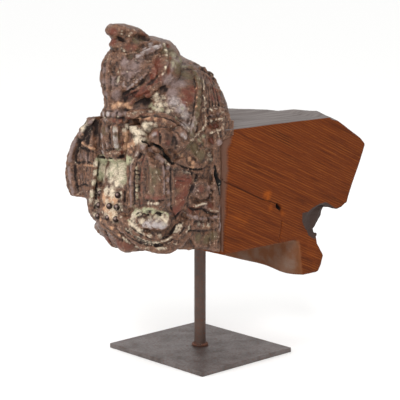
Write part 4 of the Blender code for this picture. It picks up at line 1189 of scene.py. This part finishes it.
def new_material(name):
    """A material with an empty tree, its shader, and its Object coordinates."""
    material = bpy.data.materials.new(name)
    material.use_nodes = True
    tree = material.node_tree
    tree.nodes.clear()
    shader = put(tree, "ShaderNodeBsdfPrincipled")
    put(tree, "ShaderNodeOutputMaterial", links={"Surface": shader.outputs[0]})
    place = put(tree, "ShaderNodeTexCoord").outputs["Object"]
    return material, tree, shader, place


def features(size):
    """Scale of a noise whose blotches are size millimetres across."""
    return 1000.0 / size


def bands(spacing):
    """Scale of a wave whose bands lie spacing millimetres apart."""
    return math.pi * 100 / spacing


def lay(tree, under, colour, weight, edge=(0.45, 0.6)):
    """One layer of colour over what is under it, where its weight passes its edge."""
    mask = put(
        tree, "ShaderNodeMapRange", {1: edge[0], 2: edge[1]}, {0: weight},
        interpolation_type="SMOOTHSTEP").outputs[0]
    over = put(tree, "ShaderNodeMix", {7: colour}, {0: mask, 6: under}, data_type="RGBA")
    return over.outputs[2], mask


def worn_polychrome(settings):
    """Old painted teak: dark ridges polished by handling and lightened with painted highlight, darker
    wood in the hollows as painted shade, with chalk ground, pale green and ochre left where hands don't
    reach, and soot with painted shade in the cuts."""
    material, tree, shader, place = new_material("worn_polychrome_on_teak")
    masks = {}
    for name, kinds in (
        ("paint", ("gesso", "green", "ochre", "olive")),
        ("wear", ("hollow", "patina_and_highlight", "bole", "painted_highlight")),
        ("dirt_and_shade", ("soot_and_shade", "crack_shade")),
    ):
        kept = put(tree, "ShaderNodeAttribute", attribute_name=name).outputs
        parts = put(tree, "ShaderNodeSeparateColor", links={0: kept["Color"]}).outputs
        masks.update(zip(kinds, (*parts, kept["Alpha"])))
    blotch = put(
        tree, "ShaderNodeTexNoise", {"Scale": features(9), "Detail": 5.0, "Roughness": 0.65},
        {"Vector": place}).outputs[0]
    flake = put(
        tree, "ShaderNodeTexNoise", {"Scale": features(3.4), "Detail": 8.0, "Roughness": 0.78},
        {"Vector": place}).outputs[0]
    speck = put(
        tree, "ShaderNodeTexNoise", {"Scale": features(1.5), "Detail": 4.0, "Roughness": 0.7},
        {"Vector": place}).outputs[0]
    # Fibres run along the timber, so the noise is drawn out along Y
    drawn_out = put(
        tree, "ShaderNodeMapping", {"Scale": (1.0, 0.09, 1.0)}, {"Vector": place}).outputs[0]
    fibre = put(
        tree, "ShaderNodeTexNoise", {"Scale": features(1.6), "Detail": 4.0},
        {"Vector": drawn_out}).outputs[0]

    def weight(mask, *shares):
        """A mask with shares of the noises and of the hollows added to it."""
        total = mask
        for source, share in shares:
            total = put(
                tree, "ShaderNodeMath", {1: share, }, {0: source, 2: total},
                operation="MULTIPLY_ADD").outputs[0]
        return total

    hollow = masks["hollow"]
    # Darker wood where the point lies in a hollow: painted shade, over random darker grain
    colour = put(
        tree, "ShaderNodeMix", {6: settings.dark_wood, 7: settings.wood}, {0: weight(
            put(tree, "ShaderNodeMapRange", {1: 0.38, 2: 0.62, 4: 1.0}, {0: flake}).outputs[0],
            (fibre, 0.5), (hollow, -0.5))},
        data_type="RGBA").outputs[2]
    # From the ground up: what lies over hides what is under it where its own mask is strong
    layers = {}
    # Patina and silver are laid thicker on the ridges as painted highlight, patina also as real bloom;
    # soot is laid thicker in the hollows as painted shade over dirt; the crack's near-black is painted
    # shade
    for kind, tone, shares, edge in (
        ("olive", settings.olive, ((blotch, 0.5), (flake, 0.4)), (0.55, 1.4)),
        ("bole", settings.bole, ((blotch, 0.5), (flake, 0.5)), (0.6, 1.5)),
        ("patina_and_highlight", settings.patina_and_highlight, ((flake, 0.8), (speck, 0.2), (hollow, -0.4)), (0.45, 1.3)),
        ("painted_highlight", settings.painted_highlight, ((flake, 1.0), (speck, 0.4), (hollow, -0.6)), (0.65, 1.6)),
        ("green", settings.green, ((flake, 1.4), (blotch, 0.7), (speck, 0.4)), (1.5, 2.25)),
        ("ochre", settings.ochre, ((flake, 1.4), (blotch, 0.7), (speck, 0.5)), (1.55, 2.4)),
        ("gesso", settings.gesso,
         ((flake, 1.7), (blotch, 0.7), (speck, 0.7), (hollow, 0.3)), (2.0, 2.85)),
        ("soot_and_shade", settings.soot_and_shade, ((flake, 0.5), (hollow, 0.5)), (0.75, 1.4)),
        ("crack_shade", settings.crack_shade, ((flake, 0.4),), (0.4, 0.7)),
    ):
        colour, layers[kind] = lay(tree, colour, tone, weight(masks[kind], *shares), edge)
    # Fine flecks of chalk are left all over in the pores and on the chipped edges
    flecks = weight(speck, (flake, 0.8), (blotch, 0.5), (fibre, 0.3))
    colour, _ = lay(tree, colour, settings.gesso, flecks, (1.42, 1.75))
    # Handling grime: darker and lighter grains all over
    grime = put(
        tree, "ShaderNodeMapRange", {1: 0.3, 2: 0.7, 3: 0.72, 4: 1.2}, {0: speck}).outputs[0]
    colour = put(
        tree, "ShaderNodeVectorMath", links={0: colour, "Scale": grime},
        operation="SCALE").outputs[0]
    tree.links.new(colour, shader.inputs["Base Color"])
    shader.inputs["IOR"].default_value = 1.5
    shader.inputs["Specular IOR Level"].default_value = 0.32
    # Chalk, and the soot with its painted shade, are matt; wood that hands have rubbed is nearly polished
    matt = layers["gesso"]
    for kind in ("green", "ochre", "soot_and_shade", "crack_shade"):
        matt = put(
            tree, "ShaderNodeMath", links={0: matt, 1: layers[kind]}, operation="MAXIMUM").outputs[0]
    rough = put(tree, "ShaderNodeMapRange", {3: 0.24, 4: 0.75}, {0: matt}).outputs[0]
    tree.links.new(
        put(tree, "ShaderNodeMath", {1: 0.22}, {0: flake, 2: rough},
            operation="MULTIPLY_ADD").outputs[0],
        shader.inputs["Roughness"])
    relief = weight(layers["gesso"], (flake, 1.6), (blotch, 1.5), (speck, 0.35), (fibre, 0.5))
    bump = put(
        tree, "ShaderNodeBump", {"Strength": 0.7, "Distance": 0.0008}, {"Height": relief})
    tree.links.new(bump.outputs[0], shader.inputs["Normal"])
    return material


def sawn_teak(settings):
    """Bare sawn teak: saw marks that fall towards the tail, darker growth lines, a bleached top
    and the old grey surface inside the mouth."""
    material, tree, shader, place = new_material("sawn_teak")
    zone = put(tree, "ShaderNodeSeparateColor", links={
        0: put(tree, "ShaderNodeAttribute", attribute_name="zone").outputs["Color"]})
    turned = put(
        tree, "ShaderNodeMapping", {"Rotation": (SAW_MARK_SLOPE, 0.0, 0.0)},
        {"Vector": place}).outputs[0]

    def noise_along(size, stretch, detail, rough):
        """Noise drawn out along the marks."""
        way = put(
            tree, "ShaderNodeMapping", {"Scale": (1.0, stretch, 1.0)}, {"Vector": turned})
        return put(
            tree, "ShaderNodeTexNoise",
            {"Scale": features(size), "Detail": detail, "Roughness": rough},
            {"Vector": way.outputs[0]}).outputs[0]

    fibre = noise_along(1.7, 0.03, 5.0, 0.7)
    streak = noise_along(6.0, 0.07, 3.0, 0.6)
    broad = noise_along(26.0, 0.5, 4.0, 0.6)
    saw = put(
        tree, "ShaderNodeTexWave",
        {"Scale": bands(settings.saw_spacing / MM), "Distortion": 2.0, "Detail": 4.0,
         "Detail Scale": 0.8},
        {"Vector": turned}, wave_type="BANDS", bands_direction="Z").outputs["Fac"]
    blotch = put(
        tree, "ShaderNodeTexNoise", {"Scale": features(26), "Detail": 4.0},
        {"Vector": place}).outputs[0]

    def range_of(source, low, high, least=0.0, most=1.0):
        return put(
            tree, "ShaderNodeMapRange", {1: low, 2: high, 3: least, 4: most},
            {0: source}).outputs[0]

    colour = put(
        tree, "ShaderNodeMix", {6: settings.dark_teak, 7: settings.teak},
        {0: range_of(streak, 0.22, 0.52)}, data_type="RGBA").outputs[2]
    colour = put(
        tree, "ShaderNodeMix", {7: settings.teak}, {0: range_of(broad, 0.38, 0.62), 6: colour},
        data_type="RGBA").outputs[2]
    lines = put(
        tree, "ShaderNodeMath", {1: 0.28}, {0: saw, 2: fibre}, operation="MULTIPLY_ADD")
    colour, _ = lay(tree, colour, settings.light_teak, lines.outputs[0], (0.6, 1.0))
    deep = put(tree, "ShaderNodeMath", {0: 1.0}, {1: fibre}, operation="SUBTRACT").outputs[0]
    colour, _ = lay(tree, colour, settings.dark_teak, deep, (0.5, 0.8))
    zones = put(tree, "ShaderNodeAttribute", attribute_name="zone").outputs["Alpha"]
    resin = put(
        tree, "ShaderNodeMath", {1: 1.0}, {0: streak, 2: zones}, operation="MULTIPLY_ADD").outputs[0]
    colour, _ = lay(tree, colour, settings.knot, resin, (0.55, 2.1))
    face = put(tree, "ShaderNodeSeparateColor", links={
        0: put(tree, "ShaderNodeAttribute", attribute_name="face").outputs["Color"]})
    # The old split face below the mouth is pinkish and dusty
    dusty = put(
        tree, "ShaderNodeMix", {6: settings.split_wood, 7: settings.split_dust},
        {0: range_of(blotch, 0.45, 0.7)}, data_type="RGBA").outputs[2]
    colour = put(
        tree, "ShaderNodeMix", links={0: face.outputs[0], 6: colour, 7: dusty},
        data_type="RGBA").outputs[2]
    colour, _ = lay(tree, colour, settings.old_edge, face.outputs[1], (0.3, 1.0))
    grey_fibre = put(
        tree, "ShaderNodeMix", {6: settings.weathered_dark, 7: settings.weathered},
        {0: range_of(noise_of_top(tree, place), 0.36, 0.6)}, data_type="RGBA").outputs[2]
    top = put(
        tree, "ShaderNodeMath", {1: 0.5}, {0: blotch, 2: zone.outputs[0]},
        operation="MULTIPLY_ADD").outputs[0]
    colour = put(
        tree, "ShaderNodeMix", links={0: range_of(top, 0.55, 0.95), 6: colour, 7: grey_fibre},
        data_type="RGBA").outputs[2]
    colour, _ = lay(tree, colour, settings.hollow_wood, zone.outputs[1], (0.3, 0.7))
    # Near-black painted shade inside the crack and the split
    colour, _ = lay(tree, colour, settings.crack, zone.outputs[2], (0.35, 0.9))
    tree.links.new(colour, shader.inputs["Base Color"])
    shader.inputs["IOR"].default_value = 1.5
    shader.inputs["Roughness"].default_value = 0.7
    shader.inputs["Specular IOR Level"].default_value = 0.1
    bump = put(
        tree, "ShaderNodeBump", {"Strength": 0.4, "Distance": 0.0005},
        {"Height": lines.outputs[0]})
    tree.links.new(bump.outputs[0], shader.inputs["Normal"])
    return material


def noise_of_top(tree, place):
    """Long grey streaks along the beam, as the sun and rain leave them."""
    way = put(tree, "ShaderNodeMapping", {"Scale": (1.0, 0.06, 1.0)}, {"Vector": place})
    return put(
        tree, "ShaderNodeTexNoise", {"Scale": features(7), "Detail": 5.0, "Roughness": 0.6},
        {"Vector": way.outputs[0]}).outputs[0]


def hot_rolled_steel(settings, name, skin_colour, edge_rust):
    """Hot rolled mild steel with its brown-grey oxide skin, darker scale and flecks of rust."""
    material, tree, shader, place = new_material(name)
    cloud = put(
        tree, "ShaderNodeTexNoise", {"Scale": features(18), "Detail": 6.0, "Roughness": 0.6},
        {"Vector": place}).outputs[0]
    speck = put(
        tree, "ShaderNodeTexNoise", {"Scale": features(2.2), "Detail": 5.0, "Roughness": 0.7},
        {"Vector": place}).outputs[0]
    colour = put(
        tree, "ShaderNodeMix", {6: skin_colour, 7: settings.dark_scale},
        {0: put(tree, "ShaderNodeMapRange", {1: 0.42, 2: 0.72}, {0: cloud}).outputs[0]},
        data_type="RGBA").outputs[2]
    edges = put(
        tree, "ShaderNodeMath", {0: edge_rust}, {1: speck}, operation="MULTIPLY").outputs[0]
    colour, _ = lay(tree, colour, settings.rust, edges, (0.5, 0.75))
    tree.links.new(colour, shader.inputs["Base Color"])
    shader.inputs["Metallic"].default_value = 0.3
    shader.inputs["Specular IOR Level"].default_value = 0.3
    tree.links.new(
        put(tree, "ShaderNodeMapRange", {1: 0.3, 2: 0.7, 3: 0.36, 4: 0.62},
            {0: speck}).outputs[0],
        shader.inputs["Roughness"])
    bump = put(
        tree, "ShaderNodeBump", {"Strength": 0.3, "Distance": 0.0003}, {"Height": speck})
    tree.links.new(bump.outputs[0], shader.inputs["Normal"])
    return material


def backdrop_paper(settings):
    """Plain matt studio paper with the faint tooth of its fibres."""
    material, tree, shader, place = new_material("studio_backdrop_paper")
    tooth = put(
        tree, "ShaderNodeTexNoise", {"Scale": features(1.5), "Detail": 3.0},
        {"Vector": place}).outputs[0]
    shader.inputs["Base Color"].default_value = settings.paper
    shader.inputs["Roughness"].default_value = 0.95
    shader.inputs["Specular IOR Level"].default_value = 0.1
    bump = put(
        tree, "ShaderNodeBump", {"Strength": 0.05, "Distance": 0.0002}, {"Height": tooth})
    tree.links.new(bump.outputs[0], shader.inputs["Normal"])
    return material


# Rows of beads, made by Geometry Nodes along a path


def bead_row_tree():
    """Beads at even steps along a path: inputs for spacing, radius, flatness and material."""
    tree = bpy.data.node_groups.new("bead_row", "GeometryNodeTree")
    ask = tree.interface.new_socket
    ask("Geometry", in_out="INPUT", socket_type="NodeSocketGeometry")
    ask("Spacing", in_out="INPUT", socket_type="NodeSocketFloat")
    ask("Radius", in_out="INPUT", socket_type="NodeSocketFloat")
    ask("Length", in_out="INPUT", socket_type="NodeSocketFloat")
    ask("Material", in_out="INPUT", socket_type="NodeSocketMaterial")
    ask("Geometry", in_out="OUTPUT", socket_type="NodeSocketGeometry")
    given = put(tree, "NodeGroupInput").outputs
    path = put(tree, "GeometryNodeMeshToCurve", links={"Mesh": given["Geometry"]})
    steps = put(
        tree, "GeometryNodeResampleCurve", links={0: path.outputs[0], "Length": given["Spacing"]},
        mode="LENGTH")
    ball = put(tree, "GeometryNodeMeshIcoSphere", {"Subdivisions": 3}, {"Radius": given["Radius"]})
    tangent = put(tree, "GeometryNodeInputTangent")
    turn = put(
        tree, "FunctionNodeAlignRotationToVector", links={"Vector": tangent.outputs[0]}, axis="Z")
    stretch = put(
        tree, "ShaderNodeCombineXYZ", {"X": 1.0, "Y": 1.0}, {"Z": given["Length"]})
    beads = put(tree, "GeometryNodeInstanceOnPoints", links={
        "Points": steps.outputs[0], "Instance": ball.outputs["Mesh"],
        "Rotation": turn.outputs[0], "Scale": stretch.outputs[0]})
    real = put(tree, "GeometryNodeRealizeInstances", links={0: beads.outputs[0]})
    finished = put(
        tree, "GeometryNodeSetMaterial",
        links={"Geometry": real.outputs[0], "Material": given["Material"]})
    put(tree, "NodeGroupOutput", links={0: finished.outputs[0]})
    return tree


def bead_rows(name, paths, spacing, radius, length, material):
    """One plain mesh of beads along all the paths, which are in millimetres."""
    mesh = bpy.data.meshes.new(name)
    points, edges = [], []
    for path in paths:
        first = len(points)
        points += [tuple(value * MM for value in spot) for spot in path]
        edges += [(at, at + 1) for at in range(first, len(points) - 1)]
    mesh.from_pydata(points, edges, [])
    holder = new_piece(name + "_paths", mesh)
    tree = bead_row_tree()
    rows = holder.modifiers.new("beads", "NODES")
    rows.node_group = tree
    values = {"Spacing": spacing, "Radius": radius, "Length": length, "Material": material}
    for item in tree.interface.items_tree:
        if item.in_out == "INPUT" and item.name in values:
            rows[item.identifier] = values[item.name]
    result = evaluated_mesh(holder)
    result.shade_smooth()
    bpy.data.objects.remove(holder, do_unlink=True)
    return result


# Where the rows of beads start and end, and each bell, in pixels of the photograph
BEAD_ROWS = {"leg_left": [(137, 168), (137, 184), (137, 199)], "leg_right": [(163, 165), (164, 198)]}
BELLS = {
    "left": [(100.5, 193), (99, 205), (98, 216)], "right": [(118, 195), (117, 207), (116, 219)],
    "middle": [(106, 218), (109, 206)],
}
# The side of each bell and bead, towards the key light, that carries a painted highlight
HIGHLIGHT_SIDE = (0.4, -0.75, 0.53)


# Operators


class BRACKET_OT_carving(bpy.types.Operator):
    """Carve the horse's head and forequarters and lay on its worn paint"""
    bl_idname = "bracket.carving"
    bl_label = "Carving"

    def execute(self, context):
        settings = context.scene.bracket_carving
        mesh = skinned(gather_forms(), settings.grain, 3)
        skin = Skin(mesh)
        press_hollows(skin)
        skin.write()
        sight = Sight(skin, context.scene.bracket_stage)
        remains = lay_remains(skin, sight)
        rise = carve_strokes(skin, sight, settings.depth, remains)
        rise = skin.spread(rise, 1)
        rise += skin.noise(7.0, 3.1) * settings.wear / MM
        rise += skin.noise(2.6, 8.7, 2) * 0.7 * settings.wear / MM
        skin.points += skin.normals * rise[:, None]
        low, high = (np.array(corner) / MM for corner in CAD_BOX)
        skin.points = skin.points.clip(low + 0.05, high - 0.05)
        skin.write()
        # How deep each point lies in a hollow; the material darkens the wood and lays soot there as
        # painted shade, and keeps patina and silver to the ridges as painted highlight
        fine = skin.hollowness(8)
        broad = skin.hollowness(80)
        hollow = skin.spread((0.5 + 0.9 * fine + 0.22 * broad).clip(0, 1), 1)
        write_masks(mesh, "paint", [remains[kind] for kind in KINDS[:4]])
        write_masks(mesh, "wear", [hollow] + [remains[kind] for kind in KINDS[4:7]])
        # Soot in the cuts and the near-black inside the crack: painted shade, with some dirt
        write_masks(mesh, "dirt_and_shade", [remains["soot_and_shade"], remains["crack_shade"], 0 * hollow, 0 * hollow])
        mesh = thinned(mesh, MOST_TRIANGLES)
        mesh.name = "carved_forequarters"
        piece = new_piece("carved_forequarters", mesh, worn_polychrome(settings))
        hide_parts("carved_bracket")
        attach(piece, "root")
        return {"FINISHED"}


class BRACKET_OT_beads(bpy.types.Operator):
    """Set the rows of beads and the bells on the harness"""
    bl_idname = "bracket.beads"
    bl_label = "Beads and bells"

    def execute(self, context):
        settings = context.scene.bracket_carving
        material = bpy.data.materials["worn_polychrome_on_teak"]
        skin = Skin(bpy.data.objects["carved_forequarters"].data)
        sight = Sight(skin, context.scene.bracket_stage)
        rows = [run for line in BEAD_ROWS.values() for run in sight.spots(line)]
        front = CAD_BOX[0][1] / MM + settings.stud_radius / MM + 0.1
        bells = [
            (spot.x + 0.9, max(spot.y - 1.0, front), spot.z)
            for group in BELLS.values() for spot in map(sight.spot, group)]
        beads = bead_rows(
            "harness_beads", rows, settings.bead_spacing, settings.bead_radius, 1.15,
            material)
        bells = bead_rows(
            "harness_bells", [[spot, (spot[0], spot[1] - 0.1, spot[2])] for spot in bells],
            1.0, settings.stud_radius, 1.0, material)
        for name, mesh, gesso, green, soot_and_shade in (
            ("harness_beads", beads, 0.45, 0.5, 0.1), ("harness_bells", bells, 0.0, 0.0, 0.8),
        ):
            count = len(mesh.vertices)
            flat = np.ones(count)
            write_masks(mesh, "paint", [gesso * flat, green * flat, 0 * flat, 0.2 * flat])
            # A pale painted highlight (patina) on the crown towards the key light, and the rest of the
            # bell darkened with soot as painted shade
            highlight_crown = (Skin(mesh).normals @ np.array(HIGHLIGHT_SIDE) > 0.93).astype(float)
            write_masks(mesh, "wear", [0.45 * flat, 2 * soot_and_shade * highlight_crown, 0.3 * flat, 0.2 * flat])
            write_masks(mesh, "dirt_and_shade", [soot_and_shade * (1 - highlight_crown), 0 * flat, 0 * flat, 0 * flat])
            mesh.name = name
            piece = new_piece(name, mesh)
            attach(piece, "root")
        return {"FINISHED"}


# Boundary of the sawn side against the carving, along and up
SAWN_EDGE = ((-34, 118), (-31, 150), (-28, 180), (-27, 205), (-25, 222), (-18, 243))
# The flaws of the sawn side, in pixels of the photograph
CRACK = [(221, 179), (228, 183), (245, 191), (262, 199), (272, 202), (278, 205)]
CRACK_HOLE = [(278, 206), (281, 209)]
SPLIT = [(282, 221), (281, 231), (279, 240)]
# Edge of the open mouth in the sawn side, along and up
MOUTH_EDGE = ((200, 112), (96, 116), (89, 121), (85, 128), (79, 136), (80, 146), (200, 147))
# Orange patches of resin: radius in mm, strength, pixels
KNOTS = {
    "knot": (6, 1.0, [(265, 194), (269, 193), (268, 198)]), "below": (6, 0.8, [(271, 207)]),
    "patch": (14, 0.5, [(238, 217), (246, 220)]), "right": (6, 0.6, [(283, 214)]),
    "upper": (17, 0.3, [(238, 145), (238, 165)]), "lug": (13, 0.45, [(310, 250), (313, 263)]),
}


class BRACKET_OT_timber(bpy.types.Operator):
    """Cut the sawn timber behind the carving, with its crack, knots and bleached top"""
    bl_idname = "bracket.timber"
    bl_label = "Sawn timber"

    def execute(self, context):
        settings = context.scene.bracket_timber
        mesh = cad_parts["carved_bracket"].data.copy()
        shape = bmesh.new()
        shape.from_mesh(mesh)
        bmesh.ops.remove_doubles(shape, verts=shape.verts, dist=1e-6)
        for spot, normal in (
            ((0, TIMBER_START * MM, 0), (0, -1, 0)),
            ((0, 0, (TIMBER_TOP - 0.02) * MM), (0, 0, 1)),
        ):
            geometry = shape.verts[:] + shape.edges[:] + shape.faces[:]
            cut = bmesh.ops.bisect_plane(
                shape, geom=geometry, dist=1e-7, plane_co=spot, plane_no=normal,
                clear_outer=True)
            rim = [part for part in cut["geom_cut"] if isinstance(part, bmesh.types.BMEdge)]
            bmesh.ops.triangle_fill(shape, edges=rim, use_beauty=True)
        bmesh.ops.recalc_face_normals(shape, faces=shape.faces)
        mesh.materials.clear()
        shape.to_mesh(mesh)
        shape.free()
        mesh = skinned(mesh, settings.grain, 0)
        skin = Skin(mesh)
        base = skin.normals.copy()
        across, along, up = skin.points.T.copy()
        side = np.abs(base[:, 0]) > 0.7
        edge = np.interp(up, [v for _, v in SAWN_EDGE], [u for u, _ in SAWN_EDGE])
        ragged = skin.noise(6.0, 1.7)
        rise = skin.noise(30.0, 4.2, 2) * settings.unevenness / MM
        rise += skin.noise(4.0, 6.5, 3) * 0.25 * settings.unevenness / MM
        rise[side & (along < edge + 3.0 * ragged)] -= 3.0
        sight = Sight(skin, context.scene.bracket_stage)
        dark, knot = np.zeros((2, len(rise)))
        # The crack, its hole and the split are cut in, and the dark mask paints shade inside them
        for line, width, deep in ((CRACK, 0.3, 1.6), (CRACK_HOLE, 2.6, 7.0), (SPLIT, 0.3, 1.3)):
            for run in sight.spots(line):
                found, gap = skin.near(run, 2 * width + 1)
                share = (1 - gap / (width * (1 + 0.4 * ragged[found]) + 0.7)).clip(0, 1)
                rise[found] -= deep * share
                dark[found] = np.maximum(dark[found], (1.8 * share).clip(0, 1) * min(1, deep / 2))
        for radius, strength, line in KNOTS.values():
            for run in sight.spots(line):
                found, gap = skin.near(run, radius)
                share = (1 - gap / radius + 0.3 * ragged[found]).clip(0, 1)
                knot[found] = np.maximum(knot[found], strength * share)
        # The tail's underside hangs lower at the near side, and the lug and the slant are fuller
        near = ((across - 45) / 20).clip(0, 1)
        drip = np.exp(-((along - 134) / 13) ** 2) * near * (1 - np.abs(up - 150) / 20).clip(0, 1)
        lug = ((116 - up) / 33).clip(0, 1) * (along > 60)
        lug *= 3 + 4 * np.exp(-((across - 45) / 22) ** 2)
        slant = ((along - 124) / 10).clip(0, 1) * ((180 - along) / 10).clip(0, 1)
        slant *= ((up - 198) / 10).clip(0, 1)
        end = 118 - 0.672 * (70 - across) - along
        fall = (1 - end / 45).clip(0, 1) * ((up - 232) / 8).clip(0, 1)
        fall *= ((across + 20) / 40).clip(0, 1) * ((72 - across) / 25).clip(0, 1)
        wall = (base[:, 1] > 0.2) & (along > 60) & (along < 112) & (up < 152) & (across < 62)
        skin.points[:, 1] -= 4 * (base[:, 1] > 0.2) * (along > 80) * (along < 112) * (
            1 - np.abs(up - 122) / 9).clip(0, 1)
        skin.points[:, 1] += 11 * wall * ((up - 122) / 14).clip(0, 1) * ((154 - up) / 8).clip(0, 1)
        skin.points[:, 2] += 3 * slant - 12 * drip - lug - 3 * fall
        skin.points += base * rise[:, None]
        low, high = (np.array(corner) / MM for corner in CAD_BOX)
        skin.points = skin.points.clip(low + 0.02, high - 0.02)
        skin.write()
        top = (base[:, 2] > 0.75) & (up > UNDERSIDE + 60)
        mouth = (along > 70) & (up > 118) & (up < 160) & (base[:, 0] < 0.9) & (across > -60)
        mouth |= side & (across > 0) & (up < 146) & (along > np.interp(
            up, [v for _, v in MOUTH_EDGE], [u for u, _ in MOUTH_EDGE]) + 0.6 * ragged)
        split = (up < 117) & (base[:, 1] < -0.5)
        rim = (along < edge + 3 * ragged) & (base[:, 2] < 0.75)
        write_masks(mesh, "zone", [
            skin.spread(top.astype(float), 2), skin.spread(mouth.astype(float), 1), dark, knot])
        write_masks(mesh, "face", [
            skin.spread(split.astype(float), 2), skin.spread(rim.astype(float), 3), 0 * dark,
            0 * dark])
        mesh.name = "sawn_timber"
        piece = new_piece("sawn_timber", mesh, sawn_teak(settings))
        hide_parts("carved_bracket")
        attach(piece, "root")
        return {"FINISHED"}


class BRACKET_OT_stand(bpy.types.Operator):
    """Finish the steel rod and plate and lay the weld bead's ripples"""
    bl_idname = "bracket.stand"
    bl_label = "Steel stand"

    def execute(self, context):
        settings = context.scene.bracket_stand
        plate = hot_rolled_steel(settings, "hot_rolled_steel_plate", settings.steel, 1.0)
        rod = hot_rolled_steel(settings, "drawn_steel_rod", settings.rod_steel, 1.05)
        weld = hot_rolled_steel(settings, "weld_bead_steel", settings.rod_steel, 1.3)
        for node, material in (("stand_plate", plate), ("stand_rod", rod)):
            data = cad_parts[node].data
            data.materials.clear()
            data.materials.append(material)
        ring = []
        reach = ROD_RADIUS + 0.9
        turn = 2 * math.pi / settings.ripples
        for step in range(settings.ripples + 1):
            ring.append((
                reach * math.cos(step * turn), reach * math.sin(step * turn), PLATE_TOP + 1.7))
        spacing = math.dist(ring[0], ring[1]) * MM * 0.999
        mesh = bead_rows("weld_ripples", [ring], spacing, settings.bead_radius, 0.6, weld)
        piece = new_piece("weld_ripples", mesh)
        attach(piece, "root")
        return {"FINISHED"}


class BRACKET_OT_stage(bpy.types.Operator):
    """Lay the pale floor, hang the soft lights and set the camera"""
    bl_idname = "bracket.stage"
    bl_label = "Stage"

    def execute(self, context):
        settings = context.scene.bracket_stage
        shape = bmesh.new()
        bmesh.ops.create_grid(shape, x_segments=1, y_segments=1, size=20.0)
        mesh = bpy.data.meshes.new("studio_floor")
        shape.to_mesh(mesh)
        shape.free()
        floor = new_piece("studio_floor", mesh, backdrop_paper(settings))
        world = bpy.data.worlds.new("white_studio")
        context.scene.world = world
        world.use_nodes = True
        background = world.node_tree.nodes["Background"]
        background.inputs["Color"].default_value = (1.0, 1.0, 1.0, 1.0)
        background.inputs["Strength"].default_value = settings.wall_strength
        roof = bpy.data.lights.new("white_roof", "SUN")
        roof.energy = settings.roof_strength
        roof.angle = math.radians(120)
        roof = bpy.data.objects.new("white_roof", roof)
        roof.rotation_euler = (math.radians(-12), math.radians(-10), 0)
        context.scene.collection.objects.link(roof)
        for name, spot, power, size in (
            ("key_softbox", (1.0, -1.1, 1.1), settings.key_power, 0.5),
            ("fill_softbox", (-0.7, -1.4, 0.8), settings.fill_power, 0.5),
        ):
            data = bpy.data.lights.new(name, "AREA")
            data.energy = power
            data.size = size
            light = bpy.data.objects.new(name, data)
            context.scene.collection.objects.link(light)
            light.location = spot
            aim = Vector((0, 0, 0.2)) - Vector(spot)
            light.rotation_euler = aim.to_track_quat("-Z", "Y").to_euler()
        data = bpy.data.cameras.new("photo_camera")
        data.sensor_width = SENSOR
        data.lens = settings.focal_length
        camera = bpy.data.objects.new("photo_camera", data)
        context.scene.collection.objects.link(camera)
        back = Vector((math.sin(settings.azimuth), -math.cos(settings.azimuth), 0.0))
        camera.location = back * settings.distance + Vector((0, 0, settings.height))
        look = -back * math.cos(settings.pitch) - Vector((0, 0, math.sin(settings.pitch)))
        camera.rotation_euler = look.to_track_quat("-Z", "Y").to_euler()
        context.scene.camera = camera
        context.scene.view_settings.view_transform = "Standard"
        return {"FINISHED"}


class BRACKET_PT_panel(bpy.types.Panel):
    bl_idname = "BRACKET_PT_panel"
    bl_label = "Carved horse bracket"
    bl_space_type = "VIEW_3D"
    bl_region_type = "UI"
    bl_category = "Bracket"

    def draw(self, context):
        for operator in OPERATORS:
            self.layout.operator(operator.bl_idname)


SETTINGS = {
    "bracket_carving": CarvingSettings,
    "bracket_timber": TimberSettings,
    "bracket_stand": StandSettings,
    "bracket_stage": StageSettings,
}
OPERATORS = (
    BRACKET_OT_carving, BRACKET_OT_beads, BRACKET_OT_timber, BRACKET_OT_stand, BRACKET_OT_stage,
)


def register():
    for name, group in SETTINGS.items():
        bpy.utils.register_class(group)
        setattr(bpy.types.Scene, name, PointerProperty(type=group))
    for kind in (*OPERATORS, BRACKET_PT_panel):
        bpy.utils.register_class(kind)


def unregister():
    for kind in (BRACKET_PT_panel, *reversed(OPERATORS)):
        bpy.utils.unregister_class(kind)
    for name, group in SETTINGS.items():
        delattr(bpy.types.Scene, name)
        bpy.utils.unregister_class(group)


def main():
    register()
    bpy.ops.bracket.carving()
    bpy.ops.bracket.beads()
    bpy.ops.bracket.timber()
    bpy.ops.bracket.stand()
    bpy.ops.bracket.stage()


if __name__ == "__main__":
    main()
